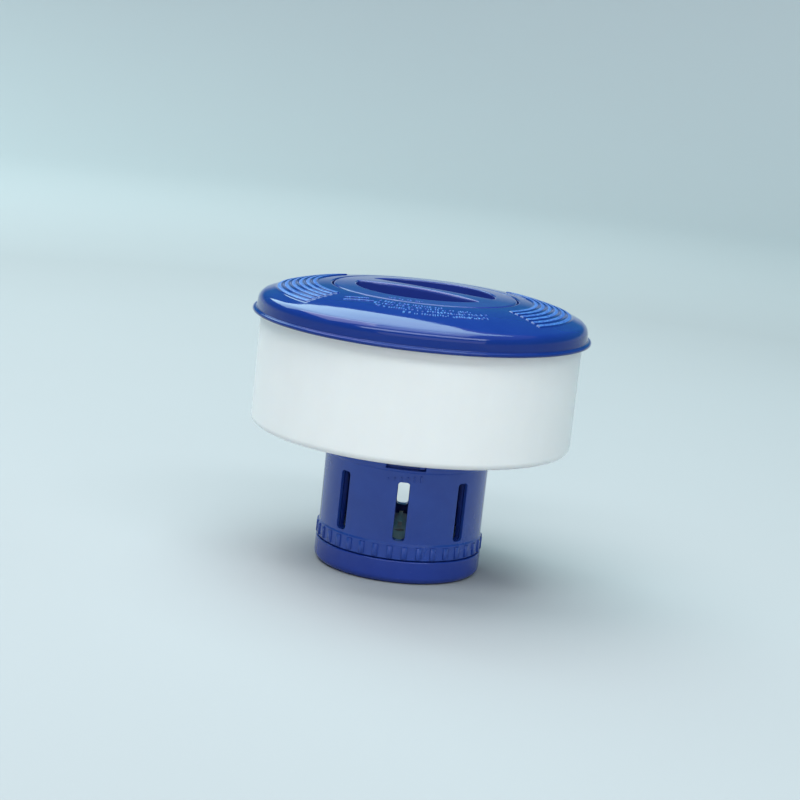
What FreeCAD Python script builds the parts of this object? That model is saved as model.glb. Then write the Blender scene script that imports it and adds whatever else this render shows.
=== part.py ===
import FreeCAD, Part
import os

import Sketcher

# Floating chlorine dispenser, standing upright on its base cap. Millimetres, +Z up, front is -Y.
# A white float drum wears a blue deck cover. A tablet canister hangs through the drum. Its lower
# end has water windows, a dosing ring that turns over them and a weighted base cap. A round
# twist lid with two finger pockets closes the canister's mouth in the middle of the deck.

SIZES = [
    # The deck's dome: a nearly flat crown, which the lid continues, and a brow that rolls down
    # from the crown's edge to the shoulder.
    ("crest", 163.8),
    ("crown_radius", 713),
    ("crown_edge", 58),
    ("brow_radius", 120),
    ("deck_skin", 2.5),
    ("deck_wall_radius", 95.5),
    ("deck_shoulder", 6.3),
    ("flange_radius", 98),
    ("flange_base", 142),
    ("flange_thickness", 2.2),
    ("flange_root_radius", 96.1),
    ("skirt_inner_radius", 93.3),
    ("seal_seat_radius", 89.6),
    ("seal_seat_height", 149.2),
    # The lid's recess and the neck below it.
    ("recess_radius", 53.9),
    ("recess_edge", 0.8),
    ("recess_floor", 157),
    ("neck_radius", 47.4),
    ("neck_wall", 2.5),
    ("neck_bottom", 131.5),
    ("lip_radius", 45),
    ("lip_bottom", 148),
    ("lip_top", 150),
    ("lip_span", 80),
    ("lip_root", 0.3),
    ("stop_radius", 45.2),
    ("stop_bottom", 143.9),
    ("stop_top", 148.5),
    ("stop_span", 3),
    # Raised rings on the deck's two sides, and short dashes in its front segment.
    ("ridge_first", 64),
    ("ridge_pitch", 4),
    ("ridge_width", 2.3),
    ("ridge_height", 0.6),
    ("ridge_span", 82),
    ("dash_first", 60.5),
    ("dash_pitch", 4.5),
    ("dash_width", 1.5),
    ("dash_height", 0.4),
    ("dash_span", 3.4),
    ("mark_root", 0.8),
    ("mark_draft", 0.3),
    # The float drum and what it holds.
    ("drum_radius", 93),
    ("drum_wall", 2),
    ("drum_bottom", 78),
    ("drum_top", 147.5),
    ("drum_corner", 4),
    ("well_radius", 47.2),
    ("well_top", 130.5),
    ("foam_inner_radius", 50.4),
    ("foam_outer_radius", 90.4),
    ("foam_bottom", 80.3),
    ("foam_split", 113),
    ("foam_gap", 0.2),
    ("foam_top", 146),
    ("foam_chamfer", 3),
    # The tablet canister, which takes tablets 76 mm across.
    ("chamber_radius", 42),
    ("canister_wall", 2.5),
    ("canister_bottom", 8.6),
    ("canister_top", 143.4),
    ("shoulder_radius", 52),
    ("shoulder_bottom", 74),
    ("shoulder_top", 76.5),
    ("shoulder_cone", 70.4),
    ("collar_radius", 47.2),
    ("collar_bottom", 132.5),
    ("groove_bottom", 136.2),
    ("groove_top", 139.6),
    ("groove_floor_radius", 44.6),
    ("dial_groove_bottom", 62.8),
    ("dial_groove_top", 64.2),
    ("dial_groove_radius", 43.7),
    ("ledge_radius", 39.5),
    ("ledge_bottom", 14.5),
    ("ledge_top", 17),
    ("window_count", 8),
    ("window_width", 7),
    ("window_bottom", 25),
    ("window_top", 59),
    ("key_radius", 47.3),
    ("key_bottom", 66.9),
    ("key_top", 72),
    ("key_span", 4),
    # The dosing ring that turns over the windows.
    ("ring_inner_radius", 45.3),
    ("ring_radius", 47.5),
    ("ring_bead_radius", 48.2),
    ("ring_band_radius", 48),
    ("ring_grip_radius", 48.8),
    ("ring_bottom", 14),
    ("ring_grip_top", 22.5),
    ("ring_bead_bottom", 65.6),
    ("ring_top", 70),
    ("notch_bottom", 66.4),
    ("notch_span", 27.5),
    ("grip_count", 36),
    ("grip_span", 4),
    ("grip_inset", 0.8),
    # The base cap, its ballast and its screws.
    ("base_radius", 48.5),
    ("base_corner", 4),
    ("base_floor", 3.5),
    ("base_top", 13.5),
    ("base_inner_radius", 44.8),
    ("drain_radius", 6),
    ("ballast_radius", 33.8),
    ("ballast_bore", 10),
    ("ballast_thickness", 1.5),
    ("ballast_pitch", 1.52),
    ("ballast_plate_bore", 7.5),
    ("ballast_hub_radius", 9.7),
    ("ballast_plate_bottom", 8.21),
    ("ballast_plate_top", 10.21),
    ("screw_circle", 38.2),
    ("screw_boss_radius", 3.7),
    ("screw_radius", 1.2),
    ("screw_head_radius", 3),
    ("screw_count", 3),
    ("screw_seat_depth", 2),
    ("pilot_depth", 6.5),
    ("grate_radius", 41.7),
    ("grate_thickness", 2.5),
    ("grate_hole_radius", 3),
    ("grate_rib_start", 12),
    ("grate_rib_width", 2.4),
    ("grate_rib_height", 4.5),
    ("grate_middle_circle", 16),
    ("grate_outer_circle", 29),
    # The twist lid.
    ("lid_radius", 53.2),
    ("lid_edge", 1.5),
    ("lid_rim_bottom", 157.3),
    ("pocket_radius", 40),
    ("pocket_wall", 2.2),
    ("pocket_floor", 150.5),
    ("pocket_corner", 1.6),
    ("pocket_rim", 1.1),
    # The grip bar between the pockets is waisted: full width at its ends, slim in the middle.
    ("bar_width", 18),
    ("bar_waist", 8.4),
    ("bar_top_skin", 4),
    ("bar_angle", -27),
    ("lug_ring_inner", 42.5),
    ("lug_ring_outer", 44.6),
    ("lug_ring_bottom", 144.2),
    ("lug_radius", 47),
    ("lug_height", 3),
    ("lug_span", 24),
    ("lid_collar_radius", 46.9),
    ("lid_collar_bottom", 153),
    ("lid_collar_top", 154),
    # The gap between pieces that are put together.
    ("play", 0.1),
]
RIDGES = 6
DASH_STEP = 5.0
# Each row of dashes: the angle of its first dash, and how many it has.
DASH_ROWS = ((-112.0, 7), (-113.0, 10), (-111.0, 11), (-97.0, 8))
BAYONETS = 3
STOP_ANGLE = 7.0
BALLAST_DISCS = 3
FRONT = -90.0
RING_TRAVEL = 22.5

doc = FreeCAD.newDocument("floating_chlorine_dispenser")
sheet = doc.addObject("Spreadsheet::Sheet", "Dim")
for row, (alias, number) in enumerate(SIZES, start=1):
    sheet.set(f"A{row}", alias)
    sheet.set(f"B{row}", str(number))
    sheet.setAlias(f"B{row}", alias)
doc.recompute()

nodes = []


def size(expression):
    """The number that an expression over the sheet stands for."""
    result = sheet.evalExpression(expression)
    return float(getattr(result, "Value", result))


def new_body(label):
    """An empty body that becomes one sub-part of this name."""
    body = doc.addObject("PartDesign::Body", label)
    body.Label = label
    nodes.append(body)
    return body


def origin_feature(body, role):
    """The body's own origin plane or axis of this role."""
    return next(f for f in body.Origin.OriginFeatures if f.Role == role)


def arc_between(start, end, radius, side):
    """The short arc from start to end, with its centre on the left (1) or on the right (-1)."""
    chord = end - start
    half = chord.Length / 2
    across = FreeCAD.Vector(-chord.y, chord.x, 0).normalize() * side
    reach = max(radius * radius - half * half, 0) ** 0.5
    centre = (start + end) / 2 + across * reach
    middle = centre - across * radius
    return Part.Arc(start, middle, end)


def outline(body, name, corners, plane="XZ_Plane", turn=None, lift=None):
    """A closed sketch whose corners are bound to the sheet.

    A corner is (x, y), or (x, y, radius, side) where an arc leads to the next corner.
    turn is an angle about the sketch's upright axis, and lift is its height over the plane.
    """
    sketch = body.newObject("Sketcher::SketchObject", name)
    sketch.AttachmentSupport = (origin_feature(body, plane), "")
    sketch.MapMode = "FlatFace"
    if turn is not None:
        upright = FreeCAD.Vector(0, 0, 1) if plane == "XY_Plane" else FreeCAD.Vector(0, 1, 0)
        sketch.AttachmentOffset = FreeCAD.Placement(FreeCAD.Vector(), FreeCAD.Rotation(upright, turn))
    if lift is not None:
        sketch.setExpression("AttachmentOffset.Base.z", lift)
    points = [FreeCAD.Vector(size(corner[0]), size(corner[1]), 0) for corner in corners]
    ends = points[1:] + points[:1]
    first = []
    last = []
    for i, corner in enumerate(corners):
        if len(corner) == 2:
            sketch.addGeometry(Part.LineSegment(points[i], ends[i]), False)
        else:
            sketch.addGeometry(arc_between(points[i], ends[i], size(corner[2]), corner[3]), False)
        forward = (sketch.getPoint(i, 1) - points[i]).Length < (sketch.getPoint(i, 2) - points[i]).Length
        first.append(1 if forward else 2)
        last.append(2 if forward else 1)
    for i in range(len(corners)):
        after = (i + 1) % len(corners)
        sketch.addConstraint(Sketcher.Constraint("Coincident", i, last[i], after, first[after]))
    for i, corner in enumerate(corners):
        bindings = [("DistanceX", corner[0], points[i].x), ("DistanceY", corner[1], points[i].y)]
        for kind, expression, number in bindings:
            place = sketch.addConstraint(Sketcher.Constraint(kind, -1, 1, i, first[i], number))
            sketch.setExpression(f"Constraints[{place}]", expression)
        if len(corner) == 4:
            place = sketch.addConstraint(Sketcher.Constraint("Radius", i, size(corner[2])))
            sketch.setExpression(f"Constraints[{place}]", corner[2])
    return sketch


def circle(body, name, x, y, radius, lift=None):
    """A sketch of one circle on the ground plane, or at the height lift."""
    sketch = body.newObject("Sketcher::SketchObject", name)
    sketch.AttachmentSupport = (origin_feature(body, "XY_Plane"), "")
    sketch.MapMode = "FlatFace"
    if lift is not None:
        sketch.setExpression("AttachmentOffset.Base.z", lift)
    centre = FreeCAD.Vector(size(x), size(y), 0)
    sketch.addGeometry(Part.Circle(centre, FreeCAD.Vector(0, 0, 1), size(radius)), False)
    rows = [
        (Sketcher.Constraint("DistanceX", -1, 1, 0, 3, centre.x), x),
        (Sketcher.Constraint("DistanceY", -1, 1, 0, 3, centre.y), y),
        (Sketcher.Constraint("Radius", 0, size(radius)), radius),
    ]
    for constraint, expression in rows:
        place = sketch.addConstraint(constraint)
        sketch.setExpression(f"Constraints[{place}]", expression)
    return sketch


def turned(body, name, corners):
    """A full revolution of a profile about the object's upright axis."""
    sketch = outline(body, name + "_profile", corners)
    solid = body.newObject("PartDesign::Revolution", name)
    solid.Profile = sketch
    solid.ReferenceAxis = (sketch, ["V_Axis"])
    solid.Angle = 360
    sketch.Visibility = False
    body.Tip = solid
    return solid


def sector(body, name, corners, span, centre=0.0, kind="PartDesign::Revolution"):
    """A part of a revolution, span degrees wide about the direction centre from +X."""
    sketch = outline(body, name + "_profile", corners, turn=centre)
    solid = body.newObject(kind, name)
    solid.Profile = sketch
    solid.ReferenceAxis = (sketch, ["V_Axis"])
    solid.Midplane = True
    solid.setExpression("Angle", span)
    body.Tip = solid
    return solid


def raised(body, name, sketch, length):
    """A pad upwards from its sketch."""
    pad = body.newObject("PartDesign::Pad", name)
    pad.Profile = sketch
    pad.setExpression("Length", length)
    body.Tip = pad
    return pad


def sunk(body, name, sketch, length):
    """A pocket that runs from its sketch along the sketch's normal."""
    pocket = body.newObject("PartDesign::Pocket", name)
    pocket.Profile = sketch
    pocket.Reversed = True
    pocket.setExpression("Length", length)
    body.Tip = pocket
    return pocket


def around(body, name, features, count, angle=360.0):
    """Copies of features about the upright axis, evenly over the angle."""
    pattern = body.newObject("PartDesign::PolarPattern", name)
    pattern.Originals = features
    pattern.Axis = (origin_feature(body, "Z_Axis"), [""])
    pattern.Angle = angle
    if isinstance(count, str):
        pattern.setExpression("Occurrences", count)
    else:
        pattern.Occurrences = count
    body.Tip = pattern
    return pattern


def rounded(body, name, radius, chosen):
    """A fillet on the tip's edges that chosen picks."""
    doc.recompute()
    base = body.Tip
    picked = [f"Edge{i}" for i, edge in enumerate(base.Shape.Edges, start=1) if chosen(edge)]
    fillet = body.newObject("PartDesign::Fillet", name)
    fillet.Base = (base, picked)
    fillet.setExpression("Radius", radius)
    body.Tip = fillet
    return fillet


def box_corners(x_low, y_low, x_high, y_high):
    """The corners of an upright rectangle."""
    return [(x_low, y_low), (x_high, y_low), (x_high, y_high), (x_low, y_high)]


def crown(radius, drop="0"):
    """The height of the crown, or of an arc drop inside it, at a radius from the axis."""
    return f"(Dim.crest - Dim.crown_radius + sqrt((Dim.crown_radius - {drop})^2 - ({radius})^2))"


def crown_touch(centre, fillet):
    """The radius at which a fillet whose centre is at the radius centre touches the crown."""
    return f"(({centre}) * Dim.crown_radius / (Dim.crown_radius - {fillet}))"


# The brow's arc leaves the crown's edge in the crown's direction, so their centres are in line.
BROW_CENTRE = "(Dim.crown_edge * (1 - Dim.brow_radius / Dim.crown_radius))"
BROW_BASE = ("(Dim.crest - Dim.crown_radius + (Dim.crown_radius - Dim.brow_radius)"
             " * sqrt(1 - (Dim.crown_edge / Dim.crown_radius)^2))")


def brow(radius, drop="0"):
    """The height of the brow, or of an arc drop inside it, at a radius from the axis."""
    return f"({BROW_BASE} + sqrt((Dim.brow_radius - {drop})^2 - ({radius} - {BROW_CENTRE})^2))"


def brow_touch(centre, fillet):
    """The radius at which a fillet whose centre is at the radius centre touches the brow."""
    return f"({BROW_CENTRE} + ({centre} - {BROW_CENTRE}) * Dim.brow_radius / (Dim.brow_radius - {fillet}))"


def deck_cover():
    """Domed cover with a flange, a skirt over the drum, the lid's recess and the neck."""
    body = new_body("deck_cover")
    edge = "Dim.recess_radius + Dim.recess_edge"
    shoulder = "Dim.deck_wall_radius - Dim.deck_shoulder"
    flange_top = "Dim.flange_base + Dim.flange_thickness"
    lip = "Dim.flange_thickness / 2"
    neck_outer = "Dim.neck_radius + Dim.neck_wall"
    recess_outer = "Dim.recess_radius + Dim.deck_skin"
    turned(body, "deck_shell", [
        ("Dim.recess_radius", crown(edge, "Dim.recess_edge"), "Dim.recess_edge", -1),
        (crown_touch(edge, "Dim.recess_edge"), crown(crown_touch(edge, "Dim.recess_edge")),
         "Dim.crown_radius", -1),
        ("Dim.crown_edge", crown("Dim.crown_edge"), "Dim.brow_radius", -1),
        (brow_touch(shoulder, "Dim.deck_shoulder"), brow(brow_touch(shoulder, "Dim.deck_shoulder")),
         "Dim.deck_shoulder", -1),
        ("Dim.deck_wall_radius", brow(shoulder, "Dim.deck_shoulder")),
        ("Dim.flange_root_radius", flange_top),
        (f"Dim.flange_radius - {lip}", flange_top, lip, -1),
        ("Dim.flange_radius", f"Dim.flange_base + {lip}", lip, -1),
        (f"Dim.flange_radius - {lip}", "Dim.flange_base"),
        ("Dim.skirt_inner_radius", "Dim.flange_base"),
        ("Dim.skirt_inner_radius", "Dim.seal_seat_height"),
        ("Dim.seal_seat_radius", "Dim.seal_seat_height"),
        ("Dim.seal_seat_radius", brow("Dim.seal_seat_radius", "Dim.deck_skin"),
         "Dim.brow_radius - Dim.deck_skin", 1),
        (recess_outer, brow(recess_outer, "Dim.deck_skin")),
        (recess_outer, "Dim.recess_floor - Dim.deck_skin"),
        (neck_outer, "Dim.recess_floor - Dim.deck_skin"),
        (neck_outer, "Dim.neck_bottom"),
        ("Dim.neck_radius", "Dim.neck_bottom"),
        ("Dim.neck_radius", "Dim.recess_floor"),
        ("Dim.recess_radius", "Dim.recess_floor"),
    ])
    into_wall = "Dim.neck_radius + Dim.lip_root"
    lips = sector(body, "bayonet_lip", box_corners(
        "Dim.lip_radius", "Dim.lip_bottom", into_wall, "Dim.lip_top"), "Dim.lip_span")
    around(body, "bayonet_lips", [lips], BAYONETS)
    stop = sector(body, "lock_stop", box_corners(
        "Dim.stop_radius", "Dim.stop_bottom", into_wall, "Dim.stop_top"), "Dim.stop_span",
        centre=STOP_ANGLE)
    around(body, "lock_stops", [stop], BAYONETS)
    ridges = []
    for i in range(RIDGES):
        middle = f"(Dim.ridge_first + {i} * Dim.ridge_pitch)"
        ridges.append(sector(body, f"side_ridge_{i + 1}", raised_section(
            middle, "Dim.ridge_width", "Dim.ridge_height"), "Dim.ridge_span"))
    around(body, "side_ridges", ridges, 2)
    for row, (start, count) in enumerate(DASH_ROWS):
        middle = f"(Dim.dash_first + {row} * Dim.dash_pitch)"
        dash = sector(body, f"front_dash_{row + 1}", raised_section(
            middle, "Dim.dash_width", "Dim.dash_height"), "Dim.dash_span", centre=start)
        around(body, f"front_dashes_{row + 1}", [dash], count, angle=DASH_STEP * (count - 1))


def raised_section(middle, width, height):
    """The section of a low mark on the brow, rooted in it, with tapered sides."""
    inner = f"{middle} - {width} / 2"
    outer = f"{middle} + {width} / 2"
    return [
        (inner, brow(inner) + " - Dim.mark_root"),
        (outer, brow(outer) + " - Dim.mark_root"),
        (outer, brow(outer)),
        (f"{outer} - Dim.mark_draft", f"{brow(outer)} + {height}"),
        (f"{inner} + Dim.mark_draft", f"{brow(inner)} + {height}"),
        (inner, brow(inner)),
    ]


def float_drum():
    """Open trough round a central well."""
    body = new_body("float_drum")
    inner_corner = "Dim.drum_corner - Dim.drum_wall"
    well_outer = "Dim.well_radius + Dim.drum_wall"
    turned(body, "drum_shell", [
        ("Dim.well_radius", "Dim.drum_bottom"),
        ("Dim.drum_radius - Dim.drum_corner", "Dim.drum_bottom", "Dim.drum_corner", 1),
        ("Dim.drum_radius", "Dim.drum_bottom + Dim.drum_corner"),
        ("Dim.drum_radius", "Dim.drum_top"),
        ("Dim.drum_radius - Dim.drum_wall", "Dim.drum_top"),
        ("Dim.drum_radius - Dim.drum_wall", "Dim.drum_bottom + Dim.drum_corner", inner_corner, -1),
        ("Dim.drum_radius - Dim.drum_corner", "Dim.drum_bottom + Dim.drum_wall"),
        (well_outer, "Dim.drum_bottom + Dim.drum_wall"),
        (well_outer, "Dim.well_top"),
        ("Dim.well_radius", "Dim.well_top"),
    ])


def plain_ring(label, inner, outer, bottom, top):
    """A flat ring of rectangular section."""
    turned(new_body(label), label + "_ring", box_corners(inner, bottom, outer, top))


def foam_rings():
    """Two foam halves fill the drum's trough."""
    lower = new_body("lower_foam_ring")
    upper = new_body("upper_foam_ring")
    turned(lower, "lower_foam", [
        ("Dim.foam_inner_radius", "Dim.foam_bottom"),
        ("Dim.foam_outer_radius - Dim.foam_chamfer", "Dim.foam_bottom"),
        ("Dim.foam_outer_radius", "Dim.foam_bottom + Dim.foam_chamfer"),
        ("Dim.foam_outer_radius", "Dim.foam_split"),
        ("Dim.foam_inner_radius", "Dim.foam_split"),
    ])
    seam = "Dim.foam_split + Dim.foam_gap"
    turned(upper, "upper_foam", [
        ("Dim.foam_inner_radius", seam),
        ("Dim.foam_outer_radius", seam),
        ("Dim.foam_outer_radius", "Dim.foam_top - Dim.foam_chamfer"),
        ("Dim.foam_outer_radius - Dim.foam_chamfer", "Dim.foam_top"),
        ("Dim.foam_inner_radius", "Dim.foam_top"),
    ])


def window_row(body, prefix):
    """Upright water windows, evenly round a tube."""
    sketch = outline(body, prefix + "_window_outline", box_corners(
        "-Dim.window_width / 2", "Dim.window_bottom", "Dim.window_width / 2", "Dim.window_top"),
        plane="YZ_Plane")
    cut = sunk(body, prefix + "_window", sketch, "Dim.shoulder_radius + 10")
    around(body, prefix + "_windows", [cut], "Dim.window_count")


def canister():
    """Tablet tube with its sealing collar, its shoulder, its key and its screw bosses."""
    body = new_body("canister")
    tube = "Dim.chamber_radius + Dim.canister_wall"
    turned(body, "canister_tube", [
        ("Dim.chamber_radius", "Dim.canister_bottom"),
        (tube, "Dim.canister_bottom"),
        (tube, "Dim.dial_groove_bottom"),
        ("Dim.dial_groove_radius", "Dim.dial_groove_bottom"),
        ("Dim.dial_groove_radius", "Dim.dial_groove_top"),
        (tube, "Dim.dial_groove_top"),
        (tube, "Dim.shoulder_cone"),
        ("Dim.shoulder_radius", "Dim.shoulder_bottom"),
        ("Dim.shoulder_radius", "Dim.shoulder_top"),
        (tube, "Dim.shoulder_top"),
        (tube, "Dim.collar_bottom"),
        ("Dim.collar_radius", "Dim.collar_bottom"),
        ("Dim.collar_radius", "Dim.groove_bottom"),
        ("Dim.groove_floor_radius", "Dim.groove_bottom"),
        ("Dim.groove_floor_radius", "Dim.groove_top"),
        ("Dim.collar_radius", "Dim.groove_top"),
        ("Dim.collar_radius", "Dim.canister_top"),
        ("Dim.chamber_radius", "Dim.canister_top"),
        ("Dim.chamber_radius", "Dim.ledge_top"),
        ("Dim.ledge_radius", "Dim.ledge_top"),
        ("Dim.ledge_radius", "Dim.ledge_bottom"),
        ("Dim.chamber_radius", "Dim.ledge_bottom"),
    ])
    window_row(body, "canister")
    sector(body, "ring_key", box_corners(
        f"{tube} - 0.2", "Dim.key_bottom", "Dim.key_radius", "Dim.key_top"),
        "Dim.key_span", centre=FRONT + RING_TRAVEL / 2)
    boss = raised(body, "screw_boss", circle(
        body, "screw_boss_outline", "Dim.screw_circle", "0", "Dim.screw_boss_radius",
        lift="Dim.canister_bottom"), "Dim.ledge_top - Dim.canister_bottom")
    around(body, "screw_bosses", [boss], "Dim.screw_count")
    pilot = sunk(body, "screw_pilot", circle(
        body, "screw_pilot_outline", "Dim.screw_circle", "0", "Dim.screw_radius + 0.05",
        lift="Dim.canister_bottom"), "Dim.pilot_depth")
    around(body, "screw_pilots", [pilot], "Dim.screw_count")


def o_ring(label, ring_radius, section_radius, height):
    """A rubber ring of round section."""
    torus = doc.addObject("Part::Torus", label)
    torus.Label = label
    torus.setExpression("Radius1", ring_radius)
    torus.setExpression("Radius2", section_radius)
    torus.setExpression("Placement.Base.z", height)
    nodes.append(torus)


def tablet_grate():
    """Perforated disc that the tablets stand on, with four ribs that keep them clear of it."""
    body = new_body("tablet_grate")
    bottom = "Dim.ledge_top + Dim.play"
    raised(body, "grate_disc", circle(
        body, "grate_outline", "0", "0", "Dim.grate_radius", lift=bottom), "Dim.grate_thickness")
    rib = raised(body, "grate_rib", outline(
        body, "grate_rib_outline", box_corners(
            "Dim.grate_rib_start", "-Dim.grate_rib_width / 2",
            "Dim.grate_radius - 3", "Dim.grate_rib_width / 2"),
        plane="XY_Plane", lift=bottom), "Dim.grate_rib_height")
    around(body, "grate_ribs", [rib], 4)
    rows = [
        ("centre", "0", 1, 0.0),
        ("middle", "Dim.grate_middle_circle", 4, 45.0),
        ("outer", "Dim.grate_outer_circle", 12, 15.0),
    ]
    for name, place, count, turn in rows:
        x = f"{place} * cos({turn} deg)"
        y = f"{place} * sin({turn} deg)"
        hole = sunk(body, f"{name}_hole", circle(
            body, f"{name}_hole_outline", x, y, "Dim.grate_hole_radius"), "Dim.ledge_top + 10")
        if count > 1:
            around(body, f"{name}_holes", [hole], count)


def dosing_ring():
    """Sleeve with windows, a ribbed grip band and a notch that the canister's key stops."""
    body = new_body("dosing_ring")
    turned(body, "ring_sleeve", [
        ("Dim.ring_inner_radius", "Dim.ring_bottom"),
        ("Dim.ring_band_radius", "Dim.ring_bottom"),
        ("Dim.ring_band_radius", "Dim.ring_grip_top"),
        ("Dim.ring_radius", "Dim.ring_grip_top + 1"),
        ("Dim.ring_radius", "Dim.ring_bead_bottom - 1"),
        ("Dim.ring_bead_radius", "Dim.ring_bead_bottom"),
        ("Dim.ring_bead_radius", "Dim.ring_top"),
        ("Dim.ring_inner_radius", "Dim.ring_top"),
    ])
    rib = sector(body, "grip_rib", box_corners(
        "Dim.ring_radius", "Dim.ring_bottom + Dim.grip_inset",
        "Dim.ring_grip_radius", "Dim.ring_grip_top - Dim.grip_inset"),
        "Dim.grip_span", centre=5.0)
    around(body, "grip_ribs", [rib], "Dim.grip_count")
    window_row(body, "ring")
    sector(body, "key_notch", box_corners(
        "Dim.ring_inner_radius - 1", "Dim.notch_bottom", "Dim.ring_grip_radius + 1", "Dim.ring_top + 1"),
        "Dim.notch_span", centre=FRONT, kind="PartDesign::Groove")


def base_cap():
    """Shallow cup under the canister, with a drain and three screw pillars."""
    body = new_body("base_cap")
    turned(body, "base_shell", [
        ("Dim.drain_radius", "0"),
        ("Dim.base_radius - Dim.base_corner", "0", "Dim.base_corner", 1),
        ("Dim.base_radius", "Dim.base_corner"),
        ("Dim.base_radius", "Dim.base_top"),
        ("Dim.base_inner_radius", "Dim.base_top"),
        ("Dim.base_inner_radius", "Dim.base_floor"),
        ("Dim.drain_radius", "Dim.base_floor"),
    ])
    pillar = raised(body, "screw_pillar", circle(
        body, "screw_pillar_outline", "Dim.screw_circle", "0", "Dim.screw_boss_radius"),
        "Dim.canister_bottom - Dim.play")
    around(body, "screw_pillars", [pillar], "Dim.screw_count")
    hole = sunk(body, "screw_hole", circle(
        body, "screw_hole_outline", "Dim.screw_circle", "0", "Dim.screw_radius + 0.4"),
        "Dim.canister_bottom + 1")
    around(body, "screw_holes", [hole], "Dim.screw_count")
    seat = sunk(body, "screw_seat", circle(
        body, "screw_seat_outline", "Dim.screw_circle", "0", "Dim.screw_head_radius + 0.3"),
        "Dim.screw_seat_depth")
    around(body, "screw_seats", [seat], "Dim.screw_count")


def ballast():
    """Steel discs in the base cap, and the plate whose hub holds them."""
    bottom = "Dim.base_floor + Dim.play / 2"
    for i in range(BALLAST_DISCS):
        height = f"{bottom} + {i} * Dim.ballast_pitch"
        plain_ring(f"ballast_disc_{i + 1}", "Dim.ballast_bore", "Dim.ballast_radius",
                   height, f"{height} + Dim.ballast_thickness")
    turned(new_body("ballast_plate"), "plate_and_hub", [
        ("Dim.ballast_plate_bore", bottom),
        ("Dim.ballast_hub_radius", bottom),
        ("Dim.ballast_hub_radius", "Dim.ballast_plate_bottom"),
        ("Dim.ballast_radius", "Dim.ballast_plate_bottom"),
        ("Dim.ballast_radius", "Dim.ballast_plate_top"),
        ("Dim.ballast_plate_bore", "Dim.ballast_plate_top"),
    ])


def base_screws():
    """Three pan-head screws with cross slots, as one group of separate solids."""
    head_bottom = 0.3
    head_height = 1.6
    head_draft = 0.5
    point_height = 1.2
    point_radius = 0.4
    slot_long = 3.2
    slot_wide = 0.7
    slot_depth = 0.8
    place = size("Dim.screw_circle")
    radius = size("Dim.screw_radius")
    head_radius = size("Dim.screw_head_radius")
    shank_bottom = head_bottom + head_height / 2
    shank_top = size("Dim.ledge_bottom") - 0.9
    head = Part.makeCone(head_radius - head_draft, head_radius, head_height,
                         FreeCAD.Vector(0, 0, head_bottom))
    shank = Part.makeCylinder(radius, shank_top - shank_bottom, FreeCAD.Vector(0, 0, shank_bottom))
    point = Part.makeCone(radius, point_radius, point_height, FreeCAD.Vector(0, 0, shank_top))
    screw = head.fuse(shank).fuse(point)
    for along, across in ((slot_long, slot_wide), (slot_wide, slot_long)):
        corner = FreeCAD.Vector(-along / 2, -across / 2, head_bottom - slot_depth / 4)
        screw = screw.cut(Part.makeBox(along, across, slot_depth, corner))
    screws = []
    for i in range(int(size("Dim.screw_count"))):
        one = screw.copy()
        one.translate(FreeCAD.Vector(place, 0, 0))
        one.rotate(FreeCAD.Vector(), FreeCAD.Vector(0, 0, 1), 360 * i / size("Dim.screw_count"))
        screws.append(one)
    group = doc.addObject("Part::Feature", "base_screws")
    group.Label = "base_screws"
    group.Shape = Part.makeCompound(screws)
    group.Placement = FreeCAD.Placement()
    nodes.append(group)


def twist_lid():
    """Domed lid with two half-moon finger pockets and a hollow, waisted grip bar between them."""
    body = new_body("twist_lid")
    edge = "Dim.lid_radius - Dim.lid_edge"
    well = "Dim.pocket_radius + Dim.pocket_wall"
    well_bottom = "Dim.pocket_floor - Dim.pocket_wall"
    turned(body, "lid_blank", [
        ("0", well_bottom),
        (well, well_bottom),
        (well, "Dim.lid_rim_bottom"),
        ("Dim.lid_radius", "Dim.lid_rim_bottom"),
        ("Dim.lid_radius", crown(edge, "Dim.lid_edge"), "Dim.lid_edge", 1),
        (crown_touch(edge, "Dim.lid_edge"), crown(crown_touch(edge, "Dim.lid_edge")),
         "Dim.crown_radius", 1),
        ("0", "Dim.crest"),
    ])
    half = "Dim.bar_width / 2"
    reach = f"sqrt(Dim.pocket_radius^2 - ({half})^2)"
    bow = "((Dim.bar_width - Dim.bar_waist) / 2)"
    turn = size("Dim.bar_angle")
    moon = outline(body, "pocket_outline", [
        (reach, half, "Dim.pocket_radius", 1),
        ("0", "Dim.pocket_radius", "Dim.pocket_radius", 1),
        (f"-{reach}", half, f"({reach}^2 + {bow}^2) / (2 * {bow})", 1),
    ], plane="XY_Plane", turn=turn, lift="Dim.pocket_floor")
    pocket = sunk(body, "finger_pocket", moon, "Dim.crest - Dim.pocket_floor + 1")
    around(body, "finger_pockets", [pocket], 2)
    side = "(Dim.bar_waist / 2 - Dim.pocket_wall)"
    hollow = outline(body, "bar_hollow_outline", box_corners(
        "-(Dim.pocket_radius - 4)", f"-{side}", "Dim.pocket_radius - 4", side),
        plane="XY_Plane", turn=turn, lift=f"{well_bottom} - 1")
    sunk(body, "bar_hollow", hollow, f"Dim.crest - Dim.bar_top_skin - ({well_bottom} - 1)")
    floor = size("Dim.pocket_floor")

    def is_corner(edge):
        """True on the upright edges where a pocket's round wall meets the bar."""
        low = edge.BoundBox.ZMin
        outer = edge.CenterOfMass.x ** 2 + edge.CenterOfMass.y ** 2 > size(f"({reach})^2 - 9")
        return edge.BoundBox.ZLength > 5 and abs(low - floor) < 0.01 and outer

    def is_rim(edge):
        """True on the edges where a pocket opens in the dome."""
        box = edge.BoundBox
        near = (box.XMax ** 2 + box.YMax ** 2) ** 0.5 < 60 and box.ZMin > size("Dim.lid_rim_bottom + 3")
        return near and edge.CenterOfMass.z > size(crown("Dim.pocket_radius + 1"))

    rounded(body, "pocket_corners", "Dim.pocket_corner", is_corner)
    rounded(body, "pocket_rims", "Dim.pocket_rim", is_rim)


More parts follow.
